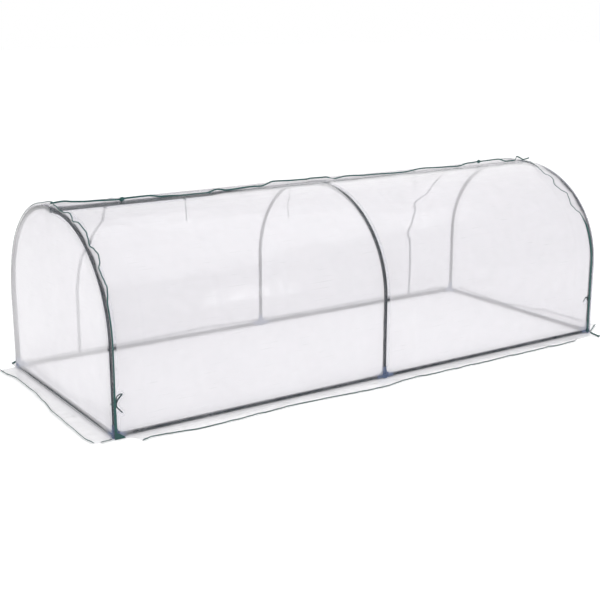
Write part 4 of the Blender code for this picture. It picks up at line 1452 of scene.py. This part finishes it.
@dataclass(frozen=True)
class EndCover:
    """A half-moon end: its film with a ground flap, and the loose seam over its hoop."""

    side: Side
    end: str
    flap_widths: tuple[tuple[float, float], ...]
    flap_slant: float
    seam_widths: tuple[tuple[float, float], ...]
    seam_angle: float
    leg_turn: float
    wide_tape: float
    foot_growth: float
    toe: float
    hem_stop: float
    edge_start: float
    flap_share: float = 0.2
    columns: int = 150
    rows: int = 70

    @property
    def plane(self) -> float:
        """The X of the end's film."""
        return self.side.value * SIZES.cover_end

    @property
    def spring_walk(self) -> float:
        """The walk from the ridge to where the hoops turn upright."""
        return FILM_LINE.length - SIZES.spring_height

    def drape(self, across: float, up: float) -> Spot:
        """Hang the film, from the flap's hem at 0 to the hoop at 1."""
        signed = (2 * across - 1) * self.side.value
        walked = abs(signed) * self.spring_walk
        spot, normal = FILM_LINE.at(walked)
        y = math.copysign(spot.x, signed)
        if up < self.flap_share:
            past = read_table(self.flap_widths, y) * (1 - up / self.flap_share)
        else:
            past = -spot.y * (up - self.flap_share) / (1 - self.flap_share)
        out, height = SLACK.turn(past)
        if past > -0.06:
            height += SLACK.ground(y + 7 * self.side.value, past, 50.0)
            height = min(height, spot.y)
        else:
            out = SLACK.end(y, -past, spot.y, 60.0 + self.side.value)
        slide = self.flap_slant * max(past, 0.0) * ease(-0.4, -0.512, y)
        drawn = SLACK.tight(walked, height) * (1 - ease(0.0, 0.05, spot.y - height))
        place = Vector((self.plane + self.side.value * (out - SLACK.inset * drawn),
                        y + slide - math.copysign(normal.x * SLACK.press * drawn, y),
                        height - normal.y * SLACK.press * drawn))
        front = max(1 - ease(0.012, 0.02, (spot.y - height) * normal.y),
                    1 - ease(0.01, 0.018, y + 0.5131))
        rail = ease(0.009, 0.013, height) * (1 - ease(0.017, 0.022, height))
        cling = SLACK.laid(max(front * ease(0.02, -0.02, y), rail), past)
        return Spot(place, Vector((self.side.value * y, -past)), cling)

    @property
    def cut_width(self) -> float:
        """The even width that the seam's strip was cut to."""
        walks = spread(-FILM_LINE.length, FILM_LINE.length, 200)
        return sum(read_table(self.seam_widths, walk) for walk in walks) / len(walks)

    def seam(self, signed: float, share: float) -> Vector:
        """Return a point on the loose seam over the hoop.

        Args:
            signed: The walk from the ridge, below zero down the back.
            share: 0 at the hoop, 1 at the seam's edge.
        """
        spot, normal = FILM_LINE.at(abs(signed))
        width = read_table(self.seam_widths, signed) * share
        facing = -1 if signed >= 0 else 1
        drawn = SLACK.tight(abs(signed), spot.y) * (1 - share)
        lean = width * math.sin(self.seam_angle) + 0.0006 - SLACK.press * drawn
        inward = width * math.cos(self.seam_angle) + SLACK.inset * drawn
        return Vector((self.side.value * (SIZES.cover_end - inward),
                       facing * (spot.x + normal.x * lean), max(spot.y + normal.y * lean, 0.001)))

    def seam_drape(self, across: float, up: float) -> Spot:
        """Hang the seam's film from foot to foot, from the hoop at 0 to its edge at 1."""
        signed = (1 - 2 * across) * self.side.value * (FILM_LINE.length - 0.004)
        on_leg = ease(0.48, 0.58, signed)
        free = (1 - SLACK.lifted) * (1 - on_leg) * ease(0.25, 0.6, up)
        return Spot(self.seam(signed, up), Vector((signed, self.cut_width * up)),
                    1 - free - 0.4 * on_leg * ease(0.3, 0.7, up))

    def build(self) -> None:
        """Hang the end's film and its seam, and sew their tapes."""
        film = hang(f"end_film_{self.end}", [Cut(self.columns, self.rows, self.drape)],
                    [f"end_panel_{self.end}"])
        outward = Vector((self.side.value, 0, 0))
        front = 1.0 if self.side is Side.LOW else 0.0
        hem = [self.drape(abs(front - share), 0.0).place + HEM_LIFT
               for share in spread(1, 0, 220)]
        hem = [place for place in hem if place.y > self.hem_stop]
        edge = [self.drape(front, self.flap_share * up).place + HEM_LIFT
                for up in spread(self.edge_start, 1.0, 14)]
        tilt = outward + HEM_TILT
        tape = HEM.sew(f"end_hem_tape_{self.end}", [HEM.fold(hem, tilt),
                                                    HEM.fold(edge, Vector((0, -1, 0.6)),
                                                             HEM_TIP)],
                       [f"skirt_binding_{self.end}"])
        film.declare("stretched", [f"hoop_{self.end}_front", f"end_rail_{self.end}"], [tape])
        loose = hang(f"arch_seam_{self.end}", [Cut(320, 5, self.seam_drape)],
                     [f"arch_seam_film_{self.end}"])
        edging = self.sew_arch()
        loose.declare("hung", [f"hoop_{self.end}_front"], [edging])

    def sew_arch(self) -> bpy.types.Object:
        """Sew the loose seam's tape, which lies broad on the front leg, down to its toe."""
        walks = spread(FILM_LINE.length - 0.008, 0.008 - FILM_LINE.length, 460)
        line = [self.seam(walk, 1.0) for walk in walks]
        ways = []
        scales = []
        for walk in walks:
            _, normal = FILM_LINE.at(abs(walk))
            facing = -1 if walk >= 0 else 1
            lie = ease(0.5, 0.62, walk)
            stand = math.sin(self.seam_angle) * (1 - lie)
            turn = math.sin(self.leg_turn) * lie
            ways.append(Vector((-self.side.value * math.cos(self.seam_angle),
                                facing * (normal.x * stand + turn), normal.y * stand)))
            scales.append(1 + (self.wide_tape - 1) * ease(0.5, 0.6, walk)
                          + self.foot_growth * ease(0.85, 1.05, walk))
        tape = Binding(0.0045, 0.0018)
        folds = [tape.fold(line, ways, scales)]
        if self.toe:
            shares = spread(-0.15, 1.0, 12)
            heights = [0.025 * (1 - max(share, 0.0)) ** 0.8 + 0.002 for share in shares]
            toe = [Vector((line[0].x + self.toe * share, line[0].y - 0.0022, height / 2 + 0.0005))
                   for share, height in zip(shares, heights)]
            folds.append(tape.fold(toe, UP, [height / tape.width for height in heights]))
        return tape.sew(f"arch_seam_tape_{self.end}", folds,
                        [f"arch_seam_binding_{self.end}"])


ENDS = (
    EndCover(Side.LOW, "left", flap_slant=-0.15, seam_angle=math.radians(35),
             leg_turn=math.radians(20), wide_tape=1.15, foot_growth=1.2, toe=0.036,
             hem_stop=-0.512, edge_start=0.2,
             flap_widths=((-0.5131, 0.064), (-0.508, 0.07), (-0.5, 0.078), (-0.455, 0.086),
                          (-0.318, 0.083), (-0.134, 0.079), (0.024, 0.062), (0.161, 0.053),
                          (0.35, 0.052), (0.455, 0.070), (0.5131, 0.072)),
             seam_widths=((-1.1, 0.008), (-0.5, 0.008), (-0.3, 0.012), (-0.12, 0.01),
                          (-0.024, 0.026), (0.028, 0.016), (0.096, 0.006), (0.124, 0.008),
                          (0.152, 0.02), (0.164, 0.022), (0.184, 0.018), (0.212, 0.010),
                          (0.24, 0.024), (0.28, 0.026), (0.304, 0.028), (0.32, 0.024),
                          (0.364, 0.016), (0.388, 0.026), (0.412, 0.032), (0.44, 0.028),
                          (0.464, 0.016), (0.492, 0.018), (0.52, 0.022), (0.54, 0.025),
                          (0.56, 0.021), (0.6, 0.0128), (0.85, 0.0128), (0.97, 0.0104),
                          (1.1, 0.0102))),
    EndCover(Side.HIGH, "right", flap_slant=0.62, seam_angle=math.radians(6),
             leg_turn=0.0, wide_tape=2.8, foot_growth=0.0, toe=0.0,
             hem_stop=-0.36, edge_start=0.0,
             flap_widths=((-0.5131, 0.118), (-0.44, 0.124), (-0.34, 0.126), (-0.124, 0.117),
                          (0.0, 0.08), (0.137, 0.035), (0.3, 0.05), (0.5131, 0.07)),
             seam_widths=((-1.1, 0.008), (-0.4, 0.009), (-0.2, 0.014), (-0.05, 0.012),
                          (0.0, 0.008), (0.06, 0.012), (0.12, 0.045), (0.158, 0.064),
                          (0.206, 0.084), (0.248, 0.097), (0.266, 0.076), (0.286, 0.077),
                          (0.34, 0.106), (0.37, 0.094), (0.394, 0.065), (0.424, 0.074),
                          (0.46, 0.086), (0.486, 0.072), (0.51, 0.047), (0.534, 0.041),
                          (0.576, 0.031), (0.62, 0.029), (0.75, 0.026), (0.95, 0.022),
                          (1.1, 0.0195))),
)


@dataclass(frozen=True)
class Ties:
    """The ties: flat tapes with one turn round a tube and a loose end."""

    width: float = 0.0054
    thickness: float = 0.0024
    pitch: float = 0.004
    core: float = 0.001
    turn_steps: int = 16
    step: float = 0.004
    ridge_tails: dict[str, tuple[tuple[float, float, float], ...]] = field(
        default_factory=lambda: {
            "left": ((0, 0, 0), (0.001, 0.002, -0.03), (0.004, 0.002, -0.065),
                     (0.003, 0.001, -0.1)),
            "middle": ((0, 0, 0), (0.004, 0.001, -0.04), (-0.007, 0.001, -0.08),
                       (-0.002, 0, -0.14)),
            "right": ((0, 0, 0), (0.002, 0.001, -0.02), (0.001, 0.002, -0.045),
                      (0.003, 0.002, -0.07))})
    ridge_shares: dict[str, float] = field(
        default_factory=lambda: {"left": -0.54, "middle": -0.129, "right": 0.441})
    leg_tails: dict[str, tuple[tuple[float, float, float], ...]] = field(
        default_factory=lambda: {
            "left": ((0, 0, 0), (0.002, -0.0012, 0.0126), (0.004, -0.0012, 0.0234),
                     (0.015, -0.0006, 0.0306), (0.026, 0, 0.0295), (0.016, 0.002, 0.018),
                     (0.007, 0.003, 0.006), (0.003, 0.003, -0.008), (0.005, 0.003, -0.018),
                     (0.026, 0.003, -0.043)),
            "right": ((0, 0, 0), (-0.008, 0, 0.008), (-0.016, 0.002, 0.002),
                      (-0.025, 0.003, -0.012))})
    leg_heights: dict[str, float] = field(
        default_factory=lambda: {"left": 0.135, "right": 0.172})

    def turn(self, centre: Vector, first: Vector, second: Vector, along: Vector) -> list[Vector]:
        """Return one turn of a helix round a tube, from the first direction to the second."""
        radius = SIZES.pipe_radius + SIZES.fit_gap + self.core
        points = []
        for share in spread(0, 1, self.turn_steps):
            angle = 2 * math.pi * share
            spoke = first * math.cos(angle) + second * math.sin(angle)
            points.append(centre + spoke * radius + along * self.pitch * (share - 1))
        return points

    def smooth(self, points: Sequence[Vector]) -> list[Vector]:
        """Return close points on a smooth curve through a route's points."""
        ends = [points[0] * 2 - points[1], *points, points[-1] * 2 - points[-2]]
        route = []
        for before, start, end, after in zip(ends, ends[1:], ends[2:], ends[3:]):
            count = max(1, round((end - start).length / self.step))
            for part in spread(0, 1, count)[:-1]:
                near = start * 2 + (end - before) * part
                bend = (before * 2 - start * 5 + end * 4 - after) * part ** 2
                twist = (start * 3 - before - end * 3 + after) * part ** 3
                route.append((near + bend + twist) / 2)
        return [*route, points[-1]]

    def tie(self, node: str, turn: Sequence[Vector], tail: Sequence[Sequence[float]],
            axis: Vector) -> None:
        route = [*turn[:-1], *self.smooth([turn[-1] + Vector(point) for point in tail])]
        frames = carry(route, axis, self.width / 2, self.thickness / 2)
        piece = install(node + "_tape", sweep(frames, 8, 0.9), TAPE, stands_for=[node])

    def leg_turn(self, side: Side) -> list[Vector]:
        """Return the turn of a leg tie round its leg."""
        name = "left" if side is Side.LOW else "right"
        centre = Vector((side.value * SIZES.half_length, -SIZES.half_width,
                         self.leg_heights[name]))
        return self.turn(centre, Vector((-side.value, 0, 0)), Vector((0, 1, 0)), UP)

    def loose_end(self, side: Side) -> list[Vector]:
        """Return the route of a leg tie's loose end."""
        tail = self.leg_tails["left" if side is Side.LOW else "right"]
        start = self.leg_turn(side)[-1]
        return self.smooth([start + Vector(point) for point in tail])

    def build(self) -> None:
        """Make the three ridge ties and the two leg ties."""
        forward, back, up = Vector((1, 0, 0)), Vector((0, 1, 0)), UP
        for name, share in self.ridge_shares.items():
            centre = Vector((SIZES.half_length * share, 0, SIZES.ridge_height))
            self.tie("ridge_tie_" + name, self.turn(centre, -back, up, forward),
                     self.ridge_tails[name], forward)
        for name, side in (("left", Side.LOW), ("right", Side.HIGH)):
            self.tie("leg_tie_" + name, self.leg_turn(side), self.leg_tails[name], up)


TIES = Ties()


def main() -> None:
    """Build the studio and dress the tunnel, one sub-assembly after another."""
    logging.basicConfig(level=logging.INFO, format="%(name)s: %(message)s")
    Studio().build()
    TIES.build()
    TubeFrame().build()
    Fitting().build()
    FrontCover().build()
    BackCover().build()
    for end in ENDS:
        end.build()


if __name__ == "__main__":
    main()
